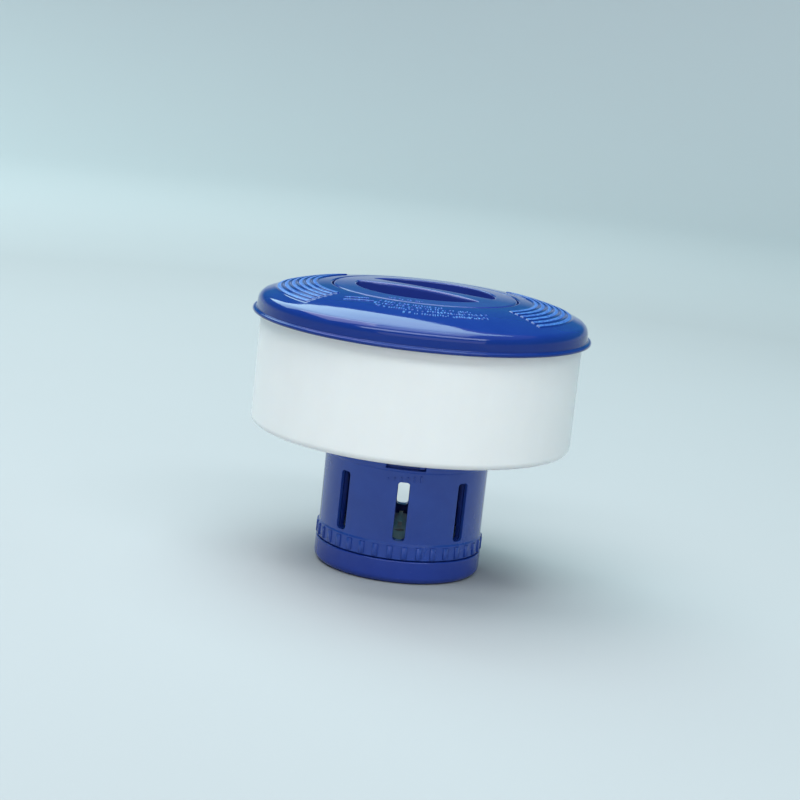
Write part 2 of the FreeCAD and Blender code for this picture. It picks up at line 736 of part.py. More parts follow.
def lug_ring():
    """Ring under the lid that carries its seal collar and its three bayonet lugs."""
    body = new_body("lid_lug_ring")
    turned(body, "lug_ring_tube", [
        ("Dim.lug_ring_inner", "Dim.lug_ring_bottom"),
        ("Dim.lug_ring_outer", "Dim.lug_ring_bottom"),
        ("Dim.lug_ring_outer", "Dim.lid_collar_bottom"),
        ("Dim.lid_collar_radius", "Dim.lid_collar_bottom"),
        ("Dim.lid_collar_radius", "Dim.lid_collar_top"),
        ("Dim.lug_ring_outer", "Dim.lid_collar_top"),
        ("Dim.lug_ring_outer", "Dim.lid_rim_bottom - Dim.play"),
        ("Dim.lug_ring_inner", "Dim.lid_rim_bottom - Dim.play"),
    ])
    bottom = "Dim.lug_ring_bottom + 0.2"
    lug = sector(body, "lug", box_corners(
        "Dim.lug_ring_outer - 0.3", bottom, "Dim.lug_radius", f"{bottom} + Dim.lug_height"),
        "Dim.lug_span", centre=60.0)
    around(body, "lugs", [lug], 3)


deck_cover()
float_drum()
plain_ring("deck_seal", "Dim.seal_seat_radius + 0.4", "Dim.drum_radius - Dim.play",
           "Dim.drum_top + Dim.play", "Dim.seal_seat_height - Dim.play")
foam_rings()
canister()
plain_ring("canister_gasket", "Dim.well_radius + 0.4", "Dim.shoulder_radius - 0.2",
           "Dim.shoulder_top + Dim.play", "Dim.drum_bottom - Dim.play")
o_ring("neck_o_ring", "Dim.groove_floor_radius + 1.4", "1.3", "(Dim.groove_bottom + Dim.groove_top) / 2")
o_ring("dial_o_ring", "Dim.dial_groove_radius + 0.65", "0.55",
       "(Dim.dial_groove_bottom + Dim.dial_groove_top) / 2")
tablet_grate()
dosing_ring()
base_cap()
ballast()
base_screws()
twist_lid()
lug_ring()
o_ring("lid_o_ring", "(Dim.neck_radius + Dim.lug_ring_outer) / 2", "1.05",
       "(Dim.lid_collar_top + Dim.lid_rim_bottom) / 2")
doc.recompute()

for item in doc.Objects:
    if "Invalid" in item.State or "Error" in item.State:
        raise RuntimeError(f"{item.Name} did not build: {item.State}")
for node in nodes:
    if node.Shape.isNull() or not node.Shape.isValid():
        raise RuntimeError(f"{node.Label} has no valid shape")
os.makedirs("parts", exist_ok=True)
for node in nodes:
    node.Shape.exportStep(f"parts/{node.Label}.step")
    box = node.Shape.BoundBox
    print(f"{node.Label}: {len(node.Shape.Solids)} solid, {node.Shape.Volume / 1000:.2f} cm3, "
          f"z {box.ZMin:.2f} to {box.ZMax:.2f}, {box.XLength:.1f} by {box.YLength:.1f}")
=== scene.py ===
import math
import random

import bmesh
import bpy
from mathutils import Matrix, Vector
from mathutils.geometry import delaunay_2d_cdt


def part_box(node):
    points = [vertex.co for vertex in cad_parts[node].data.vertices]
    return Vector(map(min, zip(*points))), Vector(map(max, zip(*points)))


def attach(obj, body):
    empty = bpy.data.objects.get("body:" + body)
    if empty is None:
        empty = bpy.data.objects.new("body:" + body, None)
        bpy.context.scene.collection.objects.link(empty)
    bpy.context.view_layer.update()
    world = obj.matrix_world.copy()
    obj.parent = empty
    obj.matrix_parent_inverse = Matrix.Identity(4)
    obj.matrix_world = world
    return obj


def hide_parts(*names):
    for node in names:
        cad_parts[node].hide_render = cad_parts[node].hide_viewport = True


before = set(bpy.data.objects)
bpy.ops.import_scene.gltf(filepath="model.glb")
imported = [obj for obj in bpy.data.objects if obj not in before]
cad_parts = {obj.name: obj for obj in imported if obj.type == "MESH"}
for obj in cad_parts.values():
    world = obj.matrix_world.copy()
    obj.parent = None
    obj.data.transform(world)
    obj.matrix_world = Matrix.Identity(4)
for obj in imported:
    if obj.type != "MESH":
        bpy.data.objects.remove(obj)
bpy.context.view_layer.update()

# The part's sizes are in millimetres and degrees, and MM turns them into a mesh's metres.
# The stage, the lights and the camera are in metres.
MM = 0.001
# The azimuth of the part's front.
FRONT = -90.0


def low(node, axis):
    """The lowest coordinate of a CAD node, in millimetres."""
    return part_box(node)[0][axis] / MM


def high(node, axis):
    """The highest coordinate of a CAD node, in millimetres."""
    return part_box(node)[1][axis] / MM


# Sizes read from the frame.
CREST = high("twist_lid", 2)
FLANGE_RADIUS = high("deck_cover", 0)
NECK_BOTTOM = low("deck_cover", 2)
DRUM_RADIUS = high("float_drum", 0)
DRUM_BOTTOM = low("float_drum", 2)
DRUM_TOP = high("float_drum", 2)
LID_RADIUS = high("twist_lid", 0)
LID_WELL_BOTTOM = low("twist_lid", 2)
SHOULDER_RADIUS = high("canister", 0)
CANISTER_BOTTOM = low("canister", 2)
CANISTER_TOP = high("canister", 2)
RING_BOTTOM = low("dosing_ring", 2)
RING_TOP = high("dosing_ring", 2)
BASE_RADIUS = high("base_cap", 0)
BASE_TOP = high("base_cap", 2)

# Sizes that the boxes don't give.
CROWN_RADIUS = 713.0
CROWN_EDGE = 58.0
BROW_RADIUS = 120.0
SHOULDER_FILLET = 6.3
FLANGE_BASE = 142.0
FLANGE_THICK = 2.2
DECK_WALL = 95.5
RECESS_RADIUS = 53.9
RECESS_FLOOR = 157.0
NECK_RADIUS = 47.4
RIDGE_RADII = [64.0 + 4.0 * i for i in range(6)]
RIDGE_HALF = 1.4
RIDGE_HEIGHT = 0.6
RIDGE_SPAN = 82.0
# How far in from a ridge's sides and ends its top is level.
RIDGE_SIDE = 0.42
RIDGE_END = 0.7
# The share of its height above which a ridge is stippled and takes the stipple material's painted sheen.
STIPPLED_AND_SHEEN_ABOVE = 0.9
# Each row of raised marks in the deck's front segment: its first and last angle.
MARK_ROWS = ((-113.7, -80.3), (-114.7, -66.3), (-112.7, -59.3), (-98.7, -60.3))
FIRST_MARK_RADIUS = 60.5
MARK_PITCH = 4.5
MARK_SIZE = 2.4
# A mark's widths, its inner and outer ends as shares of its size, and the gaps after it.
MARK_WIDTHS = (0.75, 0.9, 1.3)
MARK_ENDS = ((-0.5, 0.5), (-0.5, 0.5), (-0.5, 0.0), (0.0, 0.5))
MARK_GAPS = (0.45, 0.6, 0.6, 1.9)
# The two raised lines beside the rows, from end to end.
MARK_LINES = (((-44.1, -50.3), (-30.6, -51.7)), ((-44.4, -55.0), (-27.5, -57.5)))
LINE_WIDTH = 0.9
LINE_HEIGHT = 0.45
LID_MARK_ROW = (-114.0, -92.0)
LID_MARK_RADIUS = 49.5
LID_MARK_SIZE = 1.6
POCKET_RADIUS = 40.0
POCKET_FLOOR = 150.5
POCKET_CORNER = 1.6
# The rounding of a pocket's edge, and how much more there is along the bar.
POCKET_EDGE = 1.1
BAR_EDGE_EXTRA = 0.9
BAR_WAIST = 4.2
BAR_END = 9.0
BAR_ANGLE = -27.0
WINDOW_COUNT = 8
WINDOW_WIDTH = 7.0
WINDOW_LOW = 25.0
WINDOW_HIGH = 59.0
WINDOW_CORNER = 2.0
RING_TRAVEL = 22.5
SCREW_CIRCLE = 38.2
SCREW_ANGLES = (0.0, 120.0, 240.0)
SCREW_HOLE = 1.6
BOSS_RADIUS = 3.7


# The dome is a flat crown, then a rounder brow that leaves it at one slope.
BROW_CENTRE = CROWN_EDGE * (1 - BROW_RADIUS / CROWN_RADIUS)
BROW_BASE = (CREST - CROWN_RADIUS
             + (CROWN_RADIUS - BROW_RADIUS) * math.sqrt(1 - (CROWN_EDGE / CROWN_RADIUS) ** 2))


def crown(radius, drop=0.0):
    """The height of the crown, or of a crown drop inside it, at a radius."""
    return CREST - CROWN_RADIUS + math.sqrt((CROWN_RADIUS - drop) ** 2 - radius ** 2)


def brow(radius, drop=0.0):
    """The height of the brow, or of a brow drop inside it, at a radius."""
    return BROW_BASE + math.sqrt((BROW_RADIUS - drop) ** 2 - (radius - BROW_CENTRE) ** 2)


def dome(radius):
    """The height of the dome's surface at a radius."""
    return crown(radius) if radius < CROWN_EDGE else brow(radius)


def smooth(x):
    """0 below 0, 1 above 1, and a smooth rise between."""
    x = min(max(x, 0.0), 1.0)
    return x * x * (3 - 2 * x)


# ---------------------------------------------------------------- mesh helpers

def softened(corners, steps=6):
    """A closed outline whose corners (x, y, radius) are rounded with arcs."""
    out = []
    count = len(corners)
    for i, (x, y, radius) in enumerate(corners):
        here = Vector((x, y))
        if radius <= 0:
            out.append((x, y))
            continue
        before = Vector(corners[i - 1][:2]) - here
        after = Vector(corners[(i + 1) % count][:2]) - here
        half = before.angle(after) / 2
        reach = radius / math.tan(half)
        a = here + before.normalized() * reach
        b = here + after.normalized() * reach
        middle = (before.normalized() + after.normalized()).normalized()
        centre = here + middle * (radius / math.sin(half))
        start = a - centre
        turn = start.angle_signed(b - centre)
        for k in range(steps + 1):
            angle = -turn * k / steps
            c, s = math.cos(angle), math.sin(angle)
            out.append((centre.x + start.x * c - start.y * s, centre.y + start.x * s + start.y * c))
    return out


def new_object(name, mesh):
    """An object of this mesh in the scene, smooth shaded."""
    obj = bpy.data.objects.new(name, mesh)
    bpy.context.scene.collection.objects.link(obj)
    for polygon in mesh.polygons:
        polygon.use_smooth = True
    return obj


def bm_object(name, bm, merge=2e-6):
    """An object from a bmesh in metres, welded, with its normals outwards."""
    bmesh.ops.remove_doubles(bm, verts=bm.verts, dist=merge)
    bmesh.ops.recalc_face_normals(bm, faces=bm.faces)
    mesh = bpy.data.meshes.new(name)
    bm.to_mesh(mesh)
    bm.free()
    return new_object(name, mesh)


def lathe_into(bm, outline, segments=192, start=0.0, span=360.0, cap=False):
    """Turns a closed outline of (radius, height) about the axis, into a bmesh."""
    rings = []
    full = span >= 360.0
    count = segments if full else segments + 1
    for k in range(count):
        angle = math.radians(start + span * k / segments)
        c, s = math.cos(angle) * MM, math.sin(angle) * MM
        rings.append([bm.verts.new((r * c, r * s, z * MM)) for r, z in outline])
    size = len(outline)
    for k in range(segments):
        one, two = rings[k], rings[(k + 1) % count]
        for i in range(size):
            j = (i + 1) % size
            on_axis = outline[i][0] < 1e-6 and outline[j][0] < 1e-6
            if not on_axis:
                bm.faces.new((one[i], two[i], two[j], one[j]))
    if cap and not full:
        bm.faces.new(rings[0])
        bm.faces.new(list(reversed(rings[-1])))


def lathe(name, outline, segments=192):
    """A solid of revolution as an object."""
    bm = bmesh.new()
    lathe_into(bm, outline, segments)
    bmesh.ops.dissolve_degenerate(bm, edges=bm.edges, dist=1e-7)
    return bm_object(name, bm)


def strip(bm, one, two):
    """Quads between two closed loops of as many vertices."""
    count = len(one)
    for i in range(count):
        j = (i + 1) % count
        bm.faces.new((one[i], one[j], two[j], two[i]))


def loop(bm, points, height):
    """A closed loop of vertices over points, at a height or a function of the radius."""
    out = []
    for x, y in points:
        z = height(math.hypot(x, y)) if callable(height) else height
        out.append(bm.verts.new((x * MM, y * MM, z * MM)))
    return out


def inside(point, polygon):
    """True if a point lies in a polygon."""
    x, y = point
    odd = False
    for i, (x1, y1) in enumerate(polygon):
        x2, y2 = polygon[i - 1]
        if (y1 > y) != (y2 > y) and x < (x2 - x1) * (y - y1) / (y2 - y1) + x1:
            odd = not odd
    return odd


def fill(bm, outer, holes, height, pitch=None):
    """Triangles between an outer loop and holes, at a height or a function of the radius.

    With a pitch, a triangular grid of points this far apart is added inside.
    """
    points = [Vector(p) for p in outer]
    edges = [(i, (i + 1) % len(outer)) for i in range(len(outer))]
    for hole in holes:
        base = len(points)
        points += [Vector(p) for p in hole]
        edges += [(base + i, base + (i + 1) % len(hole)) for i in range(len(hole))]
    if pitch:
        clear = pitch * 0.6
        reach = max(math.hypot(*p) for p in outer)
        steps = int(reach / pitch) + 1
        for i in range(-steps, steps + 1):
            for j in range(-steps, steps + 1):
                p = ((i + 0.5 * (j % 2)) * pitch, j * pitch * 0.866)
                free = inside(p, outer) and not any(inside(p, hole) for hole in holes)
                if free and min((Vector(p) - q).length for q in points[:len(outer)]) > clear:
                    if all(min((Vector(p) - Vector(q)).length for q in hole) > clear for hole in holes):
                        points.append(Vector(p))
    verts, _, faces, _, _, _ = delaunay_2d_cdt(points, edges, [], 0, 1e-6)
    made = [bm.verts.new((v.x * MM, v.y * MM, (height(v.length) if callable(height) else height) * MM))
            for v in verts]
    for face in faces:
        middle = sum((verts[i] for i in face), Vector((0, 0))) / len(face)
        if inside(middle, outer) and not any(inside(middle, hole) for hole in holes):
            bm.faces.new([made[i] for i in face])


def polar(radius, degrees):
    """A point at a radius and an angle."""
    return radius * math.cos(math.radians(degrees)), radius * math.sin(math.radians(degrees))


def circle_points(radius, count, centre=(0.0, 0.0)):
    """Points evenly round a circle."""
    out = []
    for k in range(count):
        angle = 2 * math.pi * k / count
        out.append((centre[0] + radius * math.cos(angle), centre[1] + radius * math.sin(angle)))
    return out


def round_loops(bm, centre, radius, count, heights):
    """The loops of an upright round post or hole, one at each height."""
    return [loop(bm, circle_points(radius, count, centre), z) for z in heights]


def block_into(bm, size, place, turn, edge):
    """A small block with rounded edges: size is (radial, tangential, upright), place (radius, height)."""
    radial, across, tall = size
    radius, height = place
    made = bmesh.ops.create_cube(bm, size=1.0)["verts"]
    spin = Matrix.Rotation(math.radians(turn), 4, "Z")
    shift = Matrix.Translation((radius * MM, 0, height * MM))
    scale = Matrix.Diagonal((radial * MM, across * MM, tall * MM, 1.0))
    bmesh.ops.transform(bm, matrix=spin @ shift @ scale, verts=made)
    edges = list({e for v in made for e in v.link_edges})
    bmesh.ops.bevel(bm, geom=edges, offset=edge * MM, segments=2, affect="EDGES", profile=0.5)


def settle(obj):
    """Applies an object's modifiers to its mesh."""
    graph = bpy.context.evaluated_depsgraph_get()
    mesh = bpy.data.meshes.new_from_object(obj.evaluated_get(graph))
    obj.modifiers.clear()
    old = obj.data
    mesh.name = old.name
    obj.data = mesh
    bpy.data.meshes.remove(old)


def cut(obj, cutter):
    """Takes a cutter object away from obj."""
    modifier = obj.modifiers.new("cut", "BOOLEAN")
    modifier.operation = "DIFFERENCE"
    modifier.solver = "EXACT"
    modifier.object = cutter
    settle(obj)
    mesh = cutter.data
    bpy.data.objects.remove(cutter)
    bpy.data.meshes.remove(mesh)


def soft_edges(obj, width):
    """Rounds the sharp edges, then weights the normals by face area."""
    sharpest = 38.0
    bevel = obj.modifiers.new("edge_rounding", "BEVEL")
    bevel.width = width * MM
    bevel.segments = 2
    bevel.limit_method = "ANGLE"
    bevel.angle_limit = math.radians(sharpest)
    bevel.use_clamp_overlap = True
    weigh(obj)


def weigh(obj):
    """Weights an object's normals by face area, so that flats stay flat beside small roundings."""
    normals = obj.modifiers.new("weighted_normals", "WEIGHTED_NORMAL")
    normals.weight = 50
    settle(obj)
    for polygon in obj.data.polygons:
        polygon.use_smooth = True


def window_cutters(inner):
    """The windows' rounded upright slots from an inner radius outwards, as one cutter."""
    bm = bmesh.new()
    outer = 60.0
    half = WINDOW_WIDTH / 2
    corners = ((-half, WINDOW_LOW), (half, WINDOW_LOW), (half, WINDOW_HIGH), (-half, WINDOW_HIGH))
    outline = softened([(y, z, WINDOW_CORNER) for y, z in corners], steps=5)
    for k in range(WINDOW_COUNT):
        spin = Matrix.Rotation(2 * math.pi * k / WINDOW_COUNT, 3, "Z")
        near = [bm.verts.new(spin @ Vector((inner, y, z)) * MM) for y, z in outline]
        far = [bm.verts.new(spin @ Vector((outer, y, z)) * MM) for y, z in outline]
        strip(bm, near, far)
        bm.faces.new(near)
        bm.faces.new(list(reversed(far)))
    return bm_object("windows", bm)


def finish_piece(obj, body, slot, nodes, *materials):
    """Gives a piece its materials and its body, and hides the CAD nodes that it stands for; its slot is
    not used.
    """
    for material in materials:
        obj.data.materials.append(material)
    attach(obj, body)
    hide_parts(*nodes)


# ---------------------------------------------------------------- materials

# Linear colours.
NAVY = (0.009, 0.030, 0.195)
NAVY_SHADE = (0.007, 0.025, 0.178)
# The lid's navy is painted lighter than the deck's: painted light that stands in for light reaching its
# deep pockets.
LID_NAVY_PAINTED_LIGHTER = (0.021, 0.039, 0.218)
LID_NAVY_SHADE_PAINTED_LIGHTER = (0.018, 0.034, 0.200)
# The stipple's two colours are painted light: a painted sheen on its raised grain and painted shade in its
# pits.
STIPPLE_GRAIN_PAINTED_SHEEN = (0.080, 0.300, 0.660)
STIPPLE_PIT_PAINTED_SHADE = (0.012, 0.045, 0.300)
MID_BLUE = (0.014, 0.044, 0.300)
MID_BLUE_SHADE = (0.011, 0.036, 0.265)
LIGHT_BLUE = (0.020, 0.066, 0.360)
LIGHT_BLUE_SHADE = (0.016, 0.054, 0.315)
NATURAL = (0.74, 0.77, 0.79)
NATURAL_SHADE = (0.68, 0.71, 0.74)
BALLAST_GREY = (0.05, 0.055, 0.06)
BALLAST_GREY_SHADE = (0.035, 0.04, 0.045)
DRUM_WHITE = (0.965, 0.925, 0.920)
DRUM_WHITE_SHADE = (0.945, 0.900, 0.895)
# The floor's colour is painted light: darker near the part, where the lamps light it most, and paler far
# out, where their light falls off.
FLOOR_NEAR_PAINTED_SHADE = (0.37, 0.36, 0.365)
FLOOR_FAR_PAINTED_LIGHT = (0.80, 0.80, 0.81)
FLOOR_MOTTLE = (0.62, 0.64, 0.67)
UPPER_WALL = (0.09, 0.36, 0.43)
SKY = (0.92, 0.94, 1.0, 1.0)


class Nodes:
    """A material's node tree, with short ways to add to it."""

    def __init__(self, name):
        self.material = bpy.data.materials.new(name)
        self.material.use_nodes = True
        self.tree = self.material.node_tree
        self.shader = self.tree.nodes["Principled BSDF"]
        self.place = self.tree.nodes.new("ShaderNodeTexCoord").outputs["Object"]

    def add(self, kind, inputs=None, **settings):
        """A node with these settings and input values or links."""
        node = self.tree.nodes.new(kind)
        for key, value in settings.items():
            setattr(node, key, value)
        for key, value in (inputs or {}).items():
            if isinstance(value, bpy.types.NodeSocket):
                self.tree.links.new(value, node.inputs[key])
            else:
                node.inputs[key].default_value = value
        return node

    def noise(self, scale, detail=2.0, roughness=0.5, stretch=None, distortion=0.0):
        """Noise over the object, scale in features per metre."""
        place = self.place
        if stretch:
            place = self.add("ShaderNodeMapping", {"Vector": place, "Scale": stretch}).outputs[0]
        return self.add("ShaderNodeTexNoise", {
            "Vector": place, "Scale": scale, "Detail": detail, "Roughness": roughness,
            "Distortion": distortion}).outputs["Fac"]

    def ramp(self, value, *stops):
        """A colour ramp. Each stop is (position, grey or colour)."""
        node = self.add("ShaderNodeValToRGB", {"Fac": value})
        ramp = node.color_ramp
        while len(ramp.elements) < len(stops):
            ramp.elements.new(0.5)
        for element, (position, colour) in zip(ramp.elements, stops):
            element.position = position
            rgb = (colour,) * 3 if isinstance(colour, (int, float)) else tuple(colour)
            element.color = (*rgb[:3], 1.0)
        return node.outputs["Color"]

    def span(self, value, low_out, high_out, low_in=0.0, high_in=1.0):
        """A value moved from one range to another, and kept in it."""
        return self.add("ShaderNodeMapRange", {
            "Value": value, "From Min": low_in, "From Max": high_in,
            "To Min": low_out, "To Max": high_out}).outputs["Result"]

    def maths(self, operation, a, b):
        """One operation on two values."""
        return self.add("ShaderNodeMath", {0: a, 1: b}, operation=operation).outputs[0]

    def mix(self, factor, a, b):
        """A blend of two colours."""
        node = self.add("ShaderNodeMix", data_type="RGBA")
        pairs = ((node.inputs[0], factor), (node.inputs[6], a), (node.inputs[7], b))
        for socket, value in pairs:
            if isinstance(value, bpy.types.NodeSocket):
                self.tree.links.new(value, socket)
            else:
                socket.default_value = value if isinstance(value, float) else (*value[:3], 1.0)
        return node.outputs[2]

    def bump(self, height, depth, before=None):
        """A bump of this depth in millimetres, over an earlier one."""
        inputs = {"Height": height, "Distance": depth * MM, "Strength": 1.0}
        if before is not None:
            inputs["Normal"] = before
        return self.add("ShaderNodeBump", inputs).outputs["Normal"]

    def finish(self, colour=None, roughness=None, normal=None, **values):
        """Links the shader's inputs and sets its plain values."""
        for name, link in (("Base Color", colour), ("Roughness", roughness), ("Normal", normal)):
            if link is not None:
                self.tree.links.new(link, self.shader.inputs[name])
        for name, value in values.items():
            self.shader.inputs[name.replace("_", " ")].default_value = value
        return self.material


def moulded_plastic(name, tone, shade, roughness, orange_peel=0.004, flow=90.0, **values):
    """Injection-moulded plastic: faint flow marks, orange peel, fine scratches and dull handling marks."""
    dulling = 0.05
    n = Nodes(name)
    flow_marks = n.noise(flow, 4.0, 0.55, distortion=0.4)
    clouds = n.noise(28.0, 3.0, 0.6)
    marks = n.maths("ADD", n.maths("MULTIPLY", flow_marks, 0.35), n.maths("MULTIPLY", clouds, 0.65))
    colour = n.mix(n.span(marks, 0.0, 1.0, 0.35, 0.65), shade, tone)
    along = n.noise(150.0, 2.0, 0.5, stretch=(1.0, 22.0, 22.0))
    across = n.noise(150.0, 2.0, 0.5, stretch=(24.0, 1.2, 20.0))
    hair = n.maths("MAXIMUM", n.span(along, 0.0, 1.0, 0.70, 0.76), n.span(across, 0.0, 1.0, 0.71, 0.77))
    handled = n.span(n.noise(22.0, 5.0, 0.65), 0.0, 1.0, 0.42, 0.72)
    rough = n.maths("ADD", n.maths("MULTIPLY", hair, dulling), n.maths("MULTIPLY", handled, dulling))
    rough = n.maths("ADD", rough, roughness)
    peel = n.bump(n.noise(620.0, 2.0, 0.5), orange_peel)
    sink = n.bump(n.noise(45.0, 1.0, 0.4), orange_peel * 6, peel)
    normal = n.bump(hair, -0.0025, sink)
    return n.finish(colour, rough, normal, **values)


def stipple_plastic_painted_sheen(name, tone, shade):
    """The same plastic where the mould was spark-eroded, a coarse sparkling stipple, in painted light: its
    raised grain is painted a much lighter blue as a painted sheen, and its pits a darker blue as painted
    shade.
    """
    n = Nodes(name)
    cells = n.add("ShaderNodeTexVoronoi", {"Vector": n.place, "Scale": 1150.0}).outputs["Distance"]
    grain = n.noise(2200.0, 2.0, 0.6)
    pit_depth_and_shade = n.span(cells, 0.0, 1.0, 0.15, 0.6)
    stipple = n.maths("ADD", n.maths("MULTIPLY", pit_depth_and_shade, 0.75), n.maths("MULTIPLY", grain, 0.25))
    # Painted sheen on the raised grain, painted shade down in the sunk pits.
    colour = n.mix(n.span(stipple, 0.0, 1.0, 0.25, 0.8), tone, shade)
    rough = n.span(grain, 0.26, 0.44)
    normal = n.bump(stipple, -0.16)
    return n.finish(colour, rough, normal, IOR=1.49)


def drum_plastic():
    """Milky blow-moulded polyethylene that lets a little light in."""
    n = Nodes("drum_polyethylene")
    streaks = n.noise(60.0, 3.0, 0.55, stretch=(1.0, 1.0, 0.18))
    clouds = n.noise(24.0, 4.0, 0.6)
    tone = n.maths("ADD", n.maths("MULTIPLY", streaks, 0.5), n.maths("MULTIPLY", clouds, 0.5))
    colour = n.mix(n.span(tone, 0.0, 1.0, 0.35, 0.65), DRUM_WHITE_SHADE, DRUM_WHITE)
    scuffs = n.span(n.noise(160.0, 5.0, 0.7, stretch=(1.0, 1.0, 6.0)), 0.0, 1.0, 0.64, 0.76)
    rough = n.maths("ADD", n.span(clouds, 0.30, 0.36, 0.3, 0.7), n.maths("MULTIPLY", scuffs, 0.06))
    wall = n.bump(n.noise(34.0, 2.0, 0.5), 0.04)
    grain = n.bump(n.noise(900.0, 2.0, 0.6), 0.005, wall)
    normal = n.bump(scuffs, -0.003, grain)
    return n.finish(colour, rough, normal, IOR=1.50, Subsurface_Weight=0.35,
                    Subsurface_Radius=(0.006, 0.007, 0.009), Subsurface_Scale=1.0)


def rubber():
    """Black seal rubber with a powdery bloom."""
    n = Nodes("seal_rubber")
    bloom = n.noise(180.0, 5.0, 0.7)
    colour = n.ramp(bloom, (0.35, (0.012, 0.012, 0.013)), (0.75, (0.045, 0.046, 0.05)))
    rough = n.span(bloom, 0.5, 0.8, 0.3, 0.7)
    return n.finish(colour, rough, n.bump(n.noise(1400.0, 2.0), 0.01), Specular_IOR_Level=0.35)


def foam():
    """Expanded beads pressed together, with seams between them."""
    n = Nodes("bead_foam")
    cells = {"Vector": n.place, "Scale": 280.0}
    beads = n.add("ShaderNodeTexVoronoi", cells, feature="DISTANCE_TO_EDGE").outputs["Distance"]
    tint = n.add("ShaderNodeTexVoronoi", cells).outputs["Color"]
    grey = n.add("ShaderNodeRGBToBW", {"Color": tint}).outputs[0]
    colour = n.mix(n.span(grey, 0.0, 1.0), (0.86, 0.86, 0.84), (0.95, 0.95, 0.93))
    seam = n.span(beads, 0.0, 1.0, 0.0, 0.12)
    normal = n.bump(seam, 0.25)
    return n.finish(colour, n.span(seam, 0.95, 0.7), normal)


def galvanised():
    """Zinc-coated steel with its spangle."""
    n = Nodes("galvanised_steel")
    cells = n.add("ShaderNodeTexVoronoi", {"Vector": n.place, "Scale": 210.0}).outputs["Color"]
    grey = n.add("ShaderNodeRGBToBW", {"Color": cells}).outputs[0]
    haze = n.noise(300.0, 4.0, 0.6)
    colour = n.mix(n.span(grey, 0.0, 1.0), (0.42, 0.44, 0.46), (0.62, 0.64, 0.66))
    rough = n.maths("ADD", n.span(grey, 0.28, 0.5), n.maths("MULTIPLY", haze, 0.12))
    return n.finish(colour, rough, n.bump(haze, 0.01), Metallic=1.0)


def stainless():
    """Turned stainless steel."""
    n = Nodes("stainless_steel")
    rings = n.noise(900.0, 3.0, 0.6, stretch=(1.0, 1.0, 0.1))
    colour = n.ramp(rings, (0.3, (0.50, 0.50, 0.50)), (0.7, (0.66, 0.66, 0.65)))
    return n.finish(colour, n.span(rings, 0.2, 0.34), n.bump(rings, 0.006), Metallic=1.0)


deck_plastic = moulded_plastic("deck_gloss_plastic", NAVY, NAVY_SHADE, 0.04, IOR=1.49,
                               Specular_IOR_Level=0.3)
deck_stipple_painted_sheen = stipple_plastic_painted_sheen("deck_ridge_stipple_painted_sheen", STIPPLE_GRAIN_PAINTED_SHEEN, STIPPLE_PIT_PAINTED_SHADE)
lid_plastic_painted_light = moulded_plastic("lid_gloss_plastic_painted_light", LID_NAVY_PAINTED_LIGHTER, LID_NAVY_SHADE_PAINTED_LIGHTER, 0.04, flow=70.0, IOR=1.49,
                              Specular_IOR_Level=0.4)
canister_plastic = moulded_plastic("canister_plastic", MID_BLUE, MID_BLUE_SHADE, 0.2, 0.006, IOR=1.49)
ring_plastic = moulded_plastic("dosing_ring_plastic", LIGHT_BLUE, LIGHT_BLUE_SHADE, 0.24, 0.006, IOR=1.49)
cap_plastic = moulded_plastic("base_cap_plastic", MID_BLUE, MID_BLUE_SHADE, 0.22, 0.008, IOR=1.49)
natural_plastic = moulded_plastic("natural_plastic", NATURAL, NATURAL_SHADE, 0.3, 0.008, IOR=1.5)
ballast_plastic = moulded_plastic("ballast_plate_plastic", BALLAST_GREY, BALLAST_GREY_SHADE, 0.38)
drum_white = drum_plastic()
seal_rubber = rubber()
bead_foam = foam()
zinc = galvanised()
steel = stainless()


# ---------------------------------------------------------------- deck cover

def arc_profile(centre, radius, start, end, steps):
    """Points on an arc in the (radius, height) plane, angles in degrees from outwards."""
    out = []
    for k in range(steps + 1):
        angle = math.radians(start + (end - start) * k / steps)
        out.append((centre[0] + radius * math.cos(angle), centre[1] + radius * math.sin(angle)))
    return out


